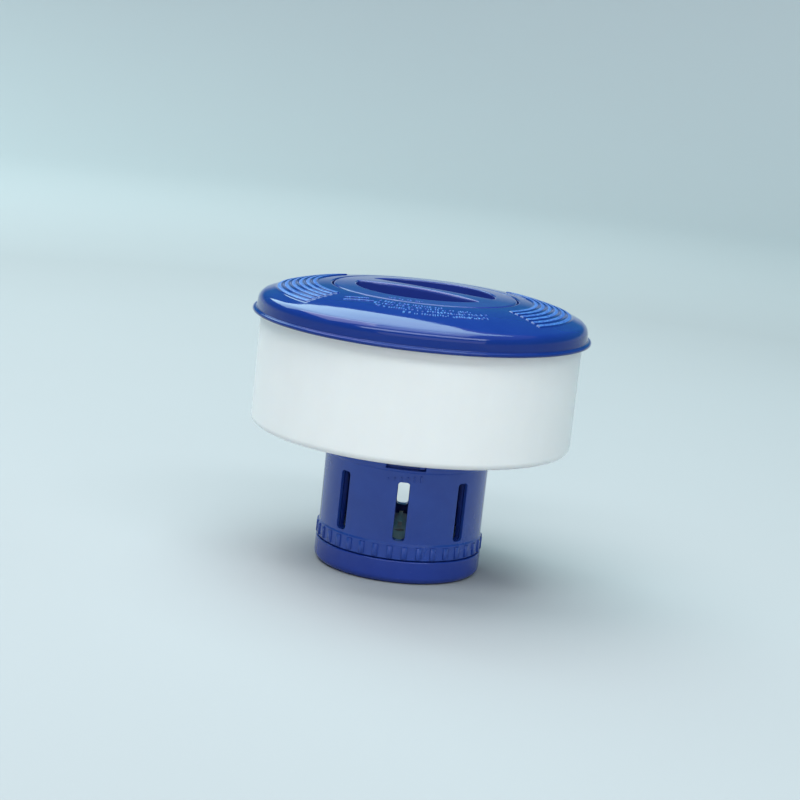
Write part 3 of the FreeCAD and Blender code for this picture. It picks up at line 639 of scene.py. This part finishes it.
def deck_outline():
    """The deck's section as (radius, height, on the dome), inner edge outwards and back inside."""
    edge = 0.8
    ring_step = 3.1
    closest = 0.11
    edge_radius = RECESS_RADIUS + edge
    slope = math.degrees(math.asin(edge_radius / (CROWN_RADIUS - edge)))
    rim = arc_profile((edge_radius, crown(edge_radius, edge)), edge, 180.0, 90.0 - slope, 6)
    shoulder = DECK_WALL - SHOULDER_FILLET
    lean = (shoulder - BROW_CENTRE) / (BROW_RADIUS - SHOULDER_FILLET)
    first = rim[-1][0]
    last = BROW_CENTRE + lean * BROW_RADIUS
    breaks = set()
    for middle in RIDGE_RADII:
        for inwards in (0.0, 0.12, 0.28, RIDGE_SIDE):
            offset = RIDGE_HALF - inwards
            breaks.update((middle - offset, middle + offset))
    radius = first + edge
    while radius < last:
        breaks.add(radius)
        radius += ring_step
    picked = []
    for value in sorted(breaks):
        if first + 0.1 < value < last - 0.2 and (not picked or value - picked[-1] > closest):
            picked.append(value)
    slope = math.degrees(math.asin(lean))
    fillet_centre = (shoulder, brow(shoulder, SHOULDER_FILLET))
    fillet = arc_profile(fillet_centre, SHOULDER_FILLET, 90.0 - slope, 0.0, 11)
    top = FLANGE_BASE + FLANGE_THICK
    lip = FLANGE_THICK / 2
    foot = [(DECK_WALL + 0.28, top + 1.3), (DECK_WALL + 0.42, top + 0.55)]
    foot += arc_profile((DECK_WALL + 1.0, top + 0.6), 0.6, 190.0, 270.0, 4)
    flange = arc_profile((FLANGE_RADIUS - lip, FLANGE_BASE + lip), lip, 90.0, -90.0, 8)
    seat = 89.6
    skin = 2.5
    bore = DRUM_RADIUS + 0.3
    seal_top = DRUM_TOP + 1.7
    outer = RECESS_RADIUS + skin
    inner = [
        (bore, FLANGE_BASE, 0.3), (bore, seal_top, 0.2),
        (seat, seal_top, 0.2), (seat, brow(seat, skin), 0.4)]
    inner += [(r, brow(r, skin), 0) for r in (83.0, 76.0, 69.0, 62.0)]
    inner += [
        (outer, brow(outer, skin), 0.4), (outer, RECESS_FLOOR - skin, 0.4),
        (NECK_RADIUS + skin, RECESS_FLOOR - skin, 0.4), (NECK_RADIUS + skin, NECK_BOTTOM, 0.4),
        (NECK_RADIUS, NECK_BOTTOM, 0.4), (NECK_RADIUS, RECESS_FLOOR, 0.5),
        (RECESS_RADIUS, RECESS_FLOOR, 0.5)]
    # The two end corners only say which way the section goes on, and are dropped.
    corners = [(FLANGE_RADIUS, FLANGE_BASE + 1, 0)] + inner + [(RECESS_RADIUS, CREST, 0)]
    closed = softened(corners, 2)[1:-1]
    out = [(r, z, False) for r, z in rim]
    out += [(r, dome(r), True) for r in picked]
    out += [(r, z, False) for r, z in fillet + foot + flange + closed]
    return out


def relief(radius, degrees):
    """(height, is a ridge's top) of the raised rings on the deck's two sides; a ridge's top takes the
    stipple material's painted sheen.
    """
    from_side = abs((degrees + 90.0) % 180.0 - 90.0)
    to_end = math.radians(RIDGE_SPAN / 2 - from_side) * radius
    for middle in RIDGE_RADII:
        to_side = RIDGE_HALF - abs(radius - middle)
        if to_side > 0 and to_end > 0:
            share = smooth(to_side / RIDGE_SIDE) * smooth(to_end / RIDGE_END)
            return RIDGE_HEIGHT * share, share > STIPPLED_AND_SHEEN_ABOVE
    return 0.0, False


def rises(span, tall):
    """Places across a raised mark with their heights: steep soft sides and a level top."""
    side = 0.22
    root = -0.15
    pitch = 1.4
    flat = span - 2 * side
    count = max(1, round(flat / pitch))
    level = [(side + flat * k / count, tall) for k in range(count + 1)]
    near = side * 0.35
    shoulder = tall * 0.75
    return [(0.0, root), (near, shoulder)] + level + [(span - near, shoulder), (span, root)]


def mark_into(bm, start, end, width, tall=0.4):
    """A small raised bar over the dome, from start to end, closed underneath, into a bmesh."""
    start, end = Vector(start), Vector(end)
    along = (end - start).normalized()
    side = Vector((-along.y, along.x))
    rows = []
    for u, high_u in rises((end - start).length, tall):
        row = []
        for v, high_v in rises(width, tall):
            place = start + along * u + side * (v - width / 2)
            height = dome(place.length) + min(high_u, high_v)
            row.append(bm.verts.new((place.x * MM, place.y * MM, height * MM)))
        rows.append(row)
    for one, two in zip(rows, rows[1:]):
        for i in range(len(one) - 1):
            # A mark's top takes slot 1, the stipple material with its painted sheen and painted shade.
            bm.faces.new((one[i], two[i], two[i + 1], one[i + 1])).material_index = 1
    edge = rows[0] + [row[-1] for row in rows[1:-1]] + rows[-1][::-1] + [row[0] for row in rows[-2:0:-1]]
    bm.faces.new(edge)


def mark_row(bm, rng, radius, start, end, size):
    """A row of small bars and dots with uneven gaps, between two angles, into a bmesh."""
    place = math.radians(start) * radius
    last = math.radians(end) * radius
    while place < last:
        width = rng.choice(MARK_WIDTHS)
        inner, outer = rng.choice(MARK_ENDS)
        middle = math.degrees((place + width / 2) / radius)
        mark_into(bm, polar(radius + inner * size, middle), polar(radius + outer * size, middle), width)
        place += width + rng.choice(MARK_GAPS)


def bore_section(front, low_z, high_z, corner):
    """The section of a lip or stop in the neck's bore, rounded in front and sunk in the neck behind."""
    back = NECK_RADIUS + 0.3
    corners = [(front, low_z, corner), (back, low_z, 0), (back, high_z, 0), (front, high_z, corner)]
    return softened(corners, 2)


def deck_cover():
    """The domed cover with its raised rings, marks, flange, recess, neck and bayonet lips."""
    outline = deck_outline()
    segments = 720
    count = len(outline)
    verts = []
    stippled_sheen_faces = set()
    for k in range(segments):
        degrees = 360.0 * k / segments
        c, s = math.cos(math.radians(degrees)), math.sin(math.radians(degrees))
        for i, (r, z, domed) in enumerate(outline):
            if domed:
                rise, top = relief(r, degrees)
                z += rise
                if top:
                    stippled_sheen_faces.add(k * count + i)
            verts.append((r * c * MM, r * s * MM, z * MM))
    faces = []
    slots = []
    for k in range(segments):
        a, b = k * count, (k + 1) % segments * count
        for i in range(count):
            j = (i + 1) % count
            face = (a + i, b + i, b + j, a + j)
            faces.append(face)
            # Faces on a ridge's top take slot 1, the stipple material with its painted sheen and painted
            # shade.
            slots.append(1 if all(v in stippled_sheen_faces for v in face) else 0)
    mesh = bpy.data.meshes.new("deck_cover_shell")
    mesh.from_pydata(verts, [], faces)
    mesh.materials.append(deck_plastic)
    mesh.materials.append(deck_stipple_painted_sheen)
    mesh.polygons.foreach_set("material_index", slots)
    bm = bmesh.new()
    bm.from_mesh(mesh)
    rng = random.Random(7)
    for row, (start, end) in enumerate(MARK_ROWS):
        mark_row(bm, rng, FIRST_MARK_RADIUS + MARK_PITCH * row, start, end, MARK_SIZE)
    for start, end in MARK_LINES:
        mark_into(bm, start, end, LINE_WIDTH, LINE_HEIGHT)
    lip = bore_section(45.0, 148.0, 150.0, 0.4)
    stop = bore_section(45.2, 143.9, 148.5, 0.3)
    lip_span = 80.0
    stop_start = 5.5
    stop_span = 3.0
    for k in range(3):
        lathe_into(bm, lip, 40, 120.0 * k - lip_span / 2, lip_span, cap=True)
        lathe_into(bm, stop, 4, 120.0 * k + stop_start, stop_span, cap=True)
    bmesh.ops.recalc_face_normals(bm, faces=bm.faces)
    bm.to_mesh(mesh)
    bm.free()
    obj = new_object("deck_cover_shell", mesh)
    finish_piece(obj, "root", "deck_blue", ["deck_cover"])


# ---------------------------------------------------------------- twist lid

# The bar's two long sides are arcs: it is waisted in the middle and widest at its ends.
BAR_BOW = BAR_END - BAR_WAIST
BAR_REACH = math.sqrt(POCKET_RADIUS ** 2 - BAR_END ** 2)
BAR_ARC = (BAR_REACH ** 2 + BAR_BOW ** 2) / (2 * BAR_BOW)


def moon():
    """The outline of a finger pocket beside a bar along X, as (x, y, outward x, outward y)."""
    arc_centre = BAR_WAIST + BAR_ARC
    near = POCKET_RADIUS - POCKET_CORNER
    far = BAR_ARC - POCKET_CORNER
    corner_y = (arc_centre ** 2 + near ** 2 - far ** 2) / (2 * arc_centre)
    corner_x = math.sqrt(near ** 2 - corner_y ** 2)
    lean = math.degrees(math.atan2(corner_y, corner_x))
    swing = math.degrees(math.asin(corner_x / far))
    arcs = (((0, arc_centre), BAR_ARC, -90.0 - swing, swing - 90.0, 60),
            ((corner_x, corner_y), POCKET_CORNER, swing - 90.0, lean, 12),
            ((0, 0), POCKET_RADIUS, lean, 180.0 - lean, 110),
            ((-corner_x, corner_y), POCKET_CORNER, 180.0 - lean, 270.0 - swing, 12))
    points = []
    for (x, y), radius, start, end, steps in arcs:
        for k in range(steps):
            angle = math.radians(start + (end - start) * k / steps)
            c, s = math.cos(angle), math.sin(angle)
            points.append((x + radius * c, y + radius * s, c, s))
    return points


def rim_at(x, outward_y):
    """The rounding of a pocket's edge: larger along the bar than round the outside."""
    plain_end = 2.0
    fade = 12.0
    along_bar = smooth((BAR_REACH - plain_end - abs(x)) / fade) if outward_y < 0 else 0.0
    return POCKET_EDGE + BAR_EDGE_EXTRA * along_bar


def pocket_loop(bm, side, offset, height):
    """A loop of vertices round a pocket. offset and height are functions of the rim's size and radius."""
    turn = math.radians(BAR_ANGLE) + (0.0 if side > 0 else math.pi)
    c, s = math.cos(turn), math.sin(turn)
    out = []
    for x, y, outward_x, outward_y in moon():
        rim = rim_at(x, outward_y)
        px = x + outward_x * offset(rim)
        py = y + outward_y * offset(rim)
        z = height(rim, math.hypot(px, py))
        out.append(bm.verts.new(((px * c - py * s) * MM, (px * s + py * c) * MM, z * MM)))
    return out


def flat_points(verts):
    """The places of vertices as points in millimetres."""
    return [(v.co.x / MM, v.co.y / MM) for v in verts]


def twist_lid():
    """The lid: a rounded disc with two deep finger pockets, hollow under its grip bar."""
    bm = bmesh.new()
    foot = 1.0
    draft = 0.45
    edge = 1.5
    wall = 2.2
    roof = 4.0
    end_wall = 4.0
    rim_bottom = 157.3
    well = POCKET_RADIUS + wall
    around = 360
    edge_radius = LID_RADIUS - edge
    slope = math.degrees(math.asin(edge_radius / (CROWN_RADIUS - edge)))
    section = arc_profile((edge_radius, crown(edge_radius, edge)), edge, 90.0 - slope, 0.0, 9)
    section += softened([(LID_RADIUS, CREST, 0), (LID_RADIUS, rim_bottom, 0.4), (well, rim_bottom, 0.4),
                         (well, LID_WELL_BOTTOM, 0.5), (10.0, LID_WELL_BOTTOM, 0)], 3)[1:-1]
    rings = [loop(bm, circle_points(r, around), z) for r, z in section]
    for one, two in zip(rings, rings[1:]):
        strip(bm, one, two)
    pockets = []
    low_edge = POCKET_FLOOR + foot
    for side in (1, -1):
        loops = []
        for k in range(11):
            angle = math.radians(9.0 * k)
            loops.append(pocket_loop(bm, side, lambda rim, a=angle: rim * (1 - math.sin(a)),
                                     lambda rim, r, a=angle: dome(r) - rim * (1 - math.cos(a))))
        for k in range(1, 5):
            loops.append(pocket_loop(bm, side, lambda rim, t=k / 5: -draft * t,
                                     lambda rim, r, t=k / 5: (dome(r) - rim) * (1 - t) + low_edge * t))
        for k in range(6):
            angle = math.radians(18.0 * k)
            loops.append(pocket_loop(bm, side, lambda rim, a=angle: -draft - foot * (1 - math.cos(a)),
                                     lambda rim, r, a=angle: POCKET_FLOOR + foot * (1 - math.sin(a))))
        for one, two in zip(loops, loops[1:]):
            strip(bm, one, two)
        fill(bm, flat_points(loops[-1]), [], POCKET_FLOOR, pitch=4.0)
        pockets.append(flat_points(loops[0]))
    fill(bm, circle_points(section[0][0], around), pockets, dome, pitch=2.6)
    half = BAR_WAIST - wall
    long = POCKET_RADIUS - end_wall
    turn = math.radians(BAR_ANGLE)
    c, s = math.cos(turn), math.sin(turn)
    slot = softened([(-long, -half, 1.5), (long, -half, 1.5), (long, half, 1.5), (-long, half, 1.5)], 6)
    slot = [(x * c - y * s, x * s + y * c) for x, y in slot]
    fill(bm, circle_points(section[-1][0], around), [slot], LID_WELL_BOTTOM)
    ceiling = CREST - roof
    strip(bm, loop(bm, slot, LID_WELL_BOTTOM), loop(bm, slot, ceiling))
    fill(bm, slot, [], ceiling)
    # The lid's marks take the stipple material's painted sheen in its second slot.
    mark_row(bm, random.Random(3), LID_MARK_RADIUS, *LID_MARK_ROW, LID_MARK_SIZE)
    obj = bm_object("twist_lid_shell", bm, merge=1e-5)
    weigh(obj)
    finish_piece(obj, "lid", "lid_blue", ["twist_lid"], lid_plastic_painted_light, deck_stipple_painted_sheen)


def lug_ring():
    """Ring under the lid with its seal collar and three bayonet lugs."""
    bottom = low("lid_lug_ring", 2)
    top = high("lid_lug_ring", 2)
    inner = 42.5
    outer = 44.6
    collar = 46.9
    collar_low = 153.0
    collar_high = 154.0
    lug_back = 44.3
    lug_front = 47.0
    lug_low = bottom + 0.2
    lug_high = bottom + 3.2
    lug_start = 48.0
    lug_span = 24.0
    bm = bmesh.new()
    lathe_into(bm, softened([
        (inner, bottom, 0.4), (outer, bottom, 0.4),
        (outer, collar_low, 0.3), (collar, collar_low, 0.3),
        (collar, collar_high, 0.3), (outer, collar_high, 0.3),
        (outer, top, 0.3), (inner, top, 0.3)], 3), 192)
    lug = softened([(lug_back, lug_low, 0), (lug_front, lug_low, 0.5), (lug_front, lug_high, 0.5),
                    (lug_back, lug_high, 0)], 3)
    for k in range(3):
        lathe_into(bm, lug, 14, 120.0 * k + lug_start, lug_span, cap=True)
    obj = bm_object("lid_lug_ring_body", bm)
    weigh(obj)
    finish_piece(obj, "lid", "lug_white", ["lid_lug_ring"], natural_plastic)


# ---------------------------------------------------------------- float drum

def float_drum():
    """The white drum: a trough round a central well, with rounded corners and a foot bead."""
    wall = 2.0
    corner = 4.0
    well_radius = 47.2
    well_top = 130.5
    outline = softened([
        (well_radius, DRUM_BOTTOM, 0.6), (DRUM_RADIUS, DRUM_BOTTOM, corner),
        (DRUM_RADIUS, DRUM_TOP, 0.6), (DRUM_RADIUS - wall, DRUM_TOP, 0.6),
        (DRUM_RADIUS - wall, DRUM_BOTTOM + wall, corner - wall),
        (well_radius + wall, DRUM_BOTTOM + wall, 1.0), (well_radius + wall, well_top, 0.6),
        (well_radius, well_top, 0.6)], 8)
    obj = lathe("float_drum_shell", outline, 320)
    weigh(obj)
    finish_piece(obj, "root", "drum_white", ["float_drum"], drum_white)


# ---------------------------------------------------------------- canister and what turns on it

def canister():
    """Tablet tube with its collar, shoulder, windows, key, ledge and screw bosses."""
    tube = 44.5
    bore = 42.0
    dial_groove = 43.7
    dial_low = 62.8
    dial_high = 64.2
    slope_bottom = 70.4
    slope_top = 74.0
    shoulder_top = 76.5
    collar = 47.2
    collar_bottom = 132.5
    neck_groove = 44.6
    neck_low = 136.2
    neck_high = 139.6
    ledge = 39.5
    ledge_low = 14.5
    ledge_high = 17.0
    outline = softened([
        (bore, CANISTER_BOTTOM, 0.4), (tube, CANISTER_BOTTOM, 0.4),
        (tube, dial_low, 0), (dial_groove, dial_low, 0),
        (dial_groove, dial_high, 0), (tube, dial_high, 0),
        (tube, slope_bottom, 0.8), (SHOULDER_RADIUS, slope_top, 0.6),
        (SHOULDER_RADIUS, shoulder_top, 0.6), (tube, shoulder_top, 0.6),
        (tube, collar_bottom, 0.4), (collar, collar_bottom, 0.5),
        (collar, neck_low, 0.3), (neck_groove, neck_low, 0.3),
        (neck_groove, neck_high, 0.3), (collar, neck_high, 0.3),
        (collar, CANISTER_TOP, 0.6), (bore, CANISTER_TOP, 0.6),
        (bore, ledge_high, 0.3), (ledge, ledge_high, 0.3),
        (ledge, ledge_low, 0.3), (bore, ledge_low, 0.3)], 3)
    obj = lathe("canister_tube", outline, 192)
    cut(obj, window_cutters(38.0))
    soft_edges(obj, 0.35)
    bm = bmesh.new()
    bm.from_mesh(obj.data)
    key_size = (3.0, 3.1, 4.9)
    key_place = (45.8, 69.5)
    block_into(bm, key_size, key_place, FRONT + RING_TRAVEL / 2, edge=0.4)
    boss_heights = (CANISTER_BOTTOM, 16.8)
    pilot_heights = (CANISTER_BOTTOM, 15.1)
    pilot_radius = 1.25
    for degrees in SCREW_ANGLES:
        centre = polar(SCREW_CIRCLE, degrees)
        boss = round_loops(bm, centre, BOSS_RADIUS, 32, boss_heights)
        pilot = round_loops(bm, centre, pilot_radius, 32, pilot_heights)
        strip(bm, *boss)
        strip(bm, boss[0], pilot[0])
        strip(bm, *pilot)
        bm.faces.new(boss[1])
        bm.faces.new(pilot[1])
    bmesh.ops.recalc_face_normals(bm, faces=bm.faces)
    bm.to_mesh(obj.data)
    bm.free()
    for polygon in obj.data.polygons:
        polygon.use_smooth = True
    weigh(obj)
    finish_piece(obj, "root", "canister_blue", ["canister"], canister_plastic)


def dosing_ring():
    """Sleeve with windows, grip ribs, a key notch and, under it, six ticks that grow in height."""
    inner = 45.3
    sleeve = 47.5
    foot = sleeve + 0.5
    foot_top = 22.5
    collar = 48.2
    collar_bottom = 65.6
    outline = softened([
        (inner, RING_BOTTOM, 0.4), (foot, RING_BOTTOM, 0.7), (foot, foot_top, 0.4),
        (sleeve, foot_top + 1, 0.4), (sleeve, 64.6, 0.5), (collar, collar_bottom, 0.5),
        (collar, RING_TOP, 0.7), (inner, RING_TOP, 0.4)], 4)
    obj = lathe("dosing_ring_sleeve", outline, 192)
    cut(obj, window_cutters(40.0))
    notch_inner = inner - 2
    notch_outer = 50.5
    notch_floor = 66.4
    notch_top = RING_TOP + 3
    notch_span = 27.5
    bm = bmesh.new()
    notch = [(notch_inner, notch_floor), (notch_outer, notch_floor), (notch_outer, notch_top),
             (notch_inner, notch_top)]
    lathe_into(bm, notch, 16, FRONT - notch_span / 2, notch_span, cap=True)
    cut(obj, bm_object("notch", bm))
    soft_edges(obj, 0.35)
    bm = bmesh.new()
    bm.from_mesh(obj.data)
    rib_size = (1.6, 3.3, 7.0)
    rib_place = (48.0, 18.4)
    for k in range(36):
        block_into(bm, rib_size, rib_place, 5.0 + 10.0 * k, edge=0.4)
    for k in range(6):
        turn = FRONT - RING_TRAVEL / 2 + RING_TRAVEL * k / 5
        tick_size = (1.2, 0.9, 1.2 + 0.5 * k)
        tick_place = (47.6, 60.4 + 0.25 * k)
        block_into(bm, tick_size, tick_place, turn, edge=0.2)
    bm.to_mesh(obj.data)
    bm.free()
    weigh(obj)
    finish_piece(obj, "dosing", "ring_blue", ["dosing_ring"], ring_plastic)


def base_cap():
    """Cup under the canister with its drain, screw seats and screw bosses."""
    drain = 6.0
    floor = 3.5
    bore = 44.8
    seat_radius = 3.3
    seat_depth = 2.0
    outline = softened([
        (drain, 0.0, 0.6), (BASE_RADIUS, 0.0, 4.0), (BASE_RADIUS, BASE_TOP, 0.7),
        (bore, BASE_TOP, 0.4), (bore, floor, 1.0), (drain, floor, 0.6)], 7)
    obj = lathe("base_cap_cup", outline, 192)
    bm = bmesh.new()
    for degrees in SCREW_ANGLES:
        centre = polar(SCREW_CIRCLE, degrees)
        seat = round_loops(bm, centre, seat_radius, 40, (-1.0, seat_depth))
        hole = round_loops(bm, centre, SCREW_HOLE, 40, (seat_depth, 10.0))
        strip(bm, *seat)
        strip(bm, seat[1], hole[0])
        strip(bm, *hole)
        bm.faces.new(seat[0])
        bm.faces.new(hole[1])
    cut(obj, bm_object("screw_seats", bm))
    soft_edges(obj, 0.3)
    bm = bmesh.new()
    bm.from_mesh(obj.data)
    boss_heights = (floor - 0.2, CANISTER_BOTTOM - 0.1)
    for degrees in SCREW_ANGLES:
        centre = polar(SCREW_CIRCLE, degrees)
        outer = round_loops(bm, centre, BOSS_RADIUS, 40, boss_heights)
        inner = round_loops(bm, centre, SCREW_HOLE, 40, boss_heights)
        strip(bm, *outer)
        strip(bm, *inner)
        strip(bm, outer[0], inner[0])
        strip(bm, outer[1], inner[1])
    bmesh.ops.recalc_face_normals(bm, faces=bm.faces)
    bm.to_mesh(obj.data)
    bm.free()
    weigh(obj)
    finish_piece(obj, "root", "cap_blue", ["base_cap"], cap_plastic)


# ---------------------------------------------------------------- CAD nodes that keep their shape

KEPT = {
    "deck_seal": seal_rubber,
    "lower_foam_ring": bead_foam,
    "upper_foam_ring": bead_foam,
    "canister_gasket": seal_rubber,
    "neck_o_ring": seal_rubber,
    "dial_o_ring": seal_rubber,
    "lid_o_ring": seal_rubber,
    "tablet_grate": natural_plastic,
    "ballast_disc_1": zinc,
    "ballast_disc_2": zinc,
    "ballast_disc_3": zinc,
    "ballast_plate": ballast_plastic,
    "base_screws": steel,
}


def kept_nodes():
    """Gives the CAD nodes that still show their materials."""
    for name, material in KEPT.items():
        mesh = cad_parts[name].data
        mesh.materials.clear()
        mesh.materials.append(material)


# ---------------------------------------------------------------- stage, light and camera

def stage():
    """A pale floor that curves up all round into a wall, which darkens above the camera's view. The floor
    is painted darker near the part and paler far out: painted light that evens out the fall-off of the
    lamps' light.
    """
    bm = bmesh.new()
    flat = 2.4
    sweep = 1.6
    top = 4.2
    steps = 16
    profile = [(0.4, 0.0), (1.2, 0.0), (flat, 0.0)]
    for k in range(1, steps + 1):
        angle = math.radians(90.0 * k / steps)
        profile.append((flat + sweep * math.sin(angle), sweep * (1 - math.cos(angle))))
    profile.append((flat + sweep, top))
    rings = [[bm.verts.new((x, y, z)) for x, y in circle_points(r, 96)] for r, z in profile]
    bm.faces.new(rings[0])
    for one, two in zip(rings, rings[1:]):
        for i in range(len(one)):
            bm.faces.new((one[i - 1], two[i - 1], two[i], one[i]))
    mesh = bpy.data.meshes.new("studio_floor")
    bm.to_mesh(mesh)
    bm.free()
    floor = new_object("studio_floor", mesh)
    n = Nodes("studio_paper")
    far = n.add("ShaderNodeVectorMath", {0: n.place}, operation="LENGTH").outputs["Value"]
    tone = n.noise(1.5, 3.0, 0.5)
    # Painted light: the floor is darker near the part and paler far out, against the lamps' fall-off.
    pale = n.mix(n.span(far, 0.0, 1.0, 1.2, 3.6), FLOOR_NEAR_PAINTED_SHADE, FLOOR_FAR_PAINTED_LIGHT)
    mottled = n.mix(n.span(tone, 0.0, 0.12), pale, FLOOR_MOTTLE)
    height = n.add("ShaderNodeSeparateXYZ", {"Vector": n.place}).outputs["Z"]
    colour = n.mix(n.span(height, 0.0, 1.0, 0.42, 0.85), mottled, UPPER_WALL)
    floor.data.materials.append(n.finish(colour, None, n.bump(n.noise(700.0, 2.0), 0.02), Roughness=0.9,
                                         Specular_IOR_Level=0.1))


# Each soft box: its name, azimuth and elevation from the deck, distance, size, glow, colour and roll.
SOFT_BOXES = (
    ("back_box", (108.0, 55.0), 2.5, (3.3, 1.5), 4.4, (0.66, 0.94, 0.95), -51.0),
    ("left_box", (165.0, 59.0), 2.3, (1.7, 1.2), 3.8, (0.96, 0.93, 0.95), 0.0),
    ("zenith_box", (-90.0, 86.0), 2.2, (1.6, 1.0), 4.2, (0.74, 0.93, 1.0), 0.0),
    ("strip_box", (-88.0, 54.0), 2.2, (3.2, 0.55), 7.4, (0.82, 0.95, 1.0), 0.0),
    ("front_box", (-82.0, 20.0), 2.7, (3.8, 1.1), 1.3, (1.0, 0.88, 0.84), 0.0),
)
WORLD_GLOW = 0.35


def area_light(name, direction, distance, size, glow, colour, roll):
    """A soft box that faces the deck, seen from it at this azimuth and elevation, glow bright."""
    azimuth, elevation = (math.radians(angle) for angle in direction)
    flat = math.cos(elevation)
    away = Vector((flat * math.cos(azimuth), flat * math.sin(azimuth), math.sin(elevation)))
    data = bpy.data.lights.new(name, "AREA")
    data.shape = "RECTANGLE"
    data.size, data.size_y = size
    data.energy = glow * math.pi * size[0] * size[1]
    data.color = colour
    light = bpy.data.objects.new(name, data)
    bpy.context.scene.collection.objects.link(light)
    light.location = Vector((0.0, 0.0, FLANGE_BASE * MM)) + away * distance
    turn = Matrix.Rotation(math.radians(roll), 4, "Z").to_quaternion()
    light.rotation_euler = (away.to_track_quat("Z", "Y") @ turn).to_euler()


def lights():
    """Soft studio light: boxes behind and to the left, two overhead and a weak broad fill in front."""
    for box in SOFT_BOXES:
        area_light(*box)
    world = bpy.data.worlds.new("studio_world")
    bpy.context.scene.world = world
    world.use_nodes = True
    background = world.node_tree.nodes["Background"]
    background.inputs["Color"].default_value = SKY
    background.inputs["Strength"].default_value = WORLD_GLOW
    bpy.context.scene.view_settings.view_transform = "Standard"


def camera():
    """A camera low in front, rolled as the float heels in the water."""
    target = Vector((0.0, 0.0, FLANGE_BASE * MM))
    distance = 1.2
    elevation = math.radians(8.577)
    roll = math.radians(6.295)
    pan = math.radians(0.603)
    tilt = math.radians(-2.067)
    back = Vector((0.0, -math.cos(elevation), math.sin(elevation)))
    right = Vector((1.0, 0.0, 0.0))
    up = back.cross(right)
    across = right * math.cos(roll) + up * math.sin(roll)
    upright = up * math.cos(roll) - right * math.sin(roll)
    basis = Matrix((across, upright, back)).transposed()
    data = bpy.data.cameras.new("camera")
    data.sensor_width = 36.0
    data.lens = 93.5
    data.clip_start = 0.05
    data.clip_end = 30.0
    cam = bpy.data.objects.new("camera", data)
    bpy.context.scene.collection.objects.link(cam)
    turn = Matrix.Rotation(pan, 3, "Y") @ Matrix.Rotation(tilt, 3, "X")
    cam.matrix_world = Matrix.Translation(target + back * distance) @ (basis @ turn).to_4x4()
    bpy.context.scene.camera = cam


camera()
lights()
stage()
kept_nodes()
deck_cover()
twist_lid()
lug_ring()
float_drum()
canister()
dosing_ring()
base_cap()

bpy.context.view_layer.update()
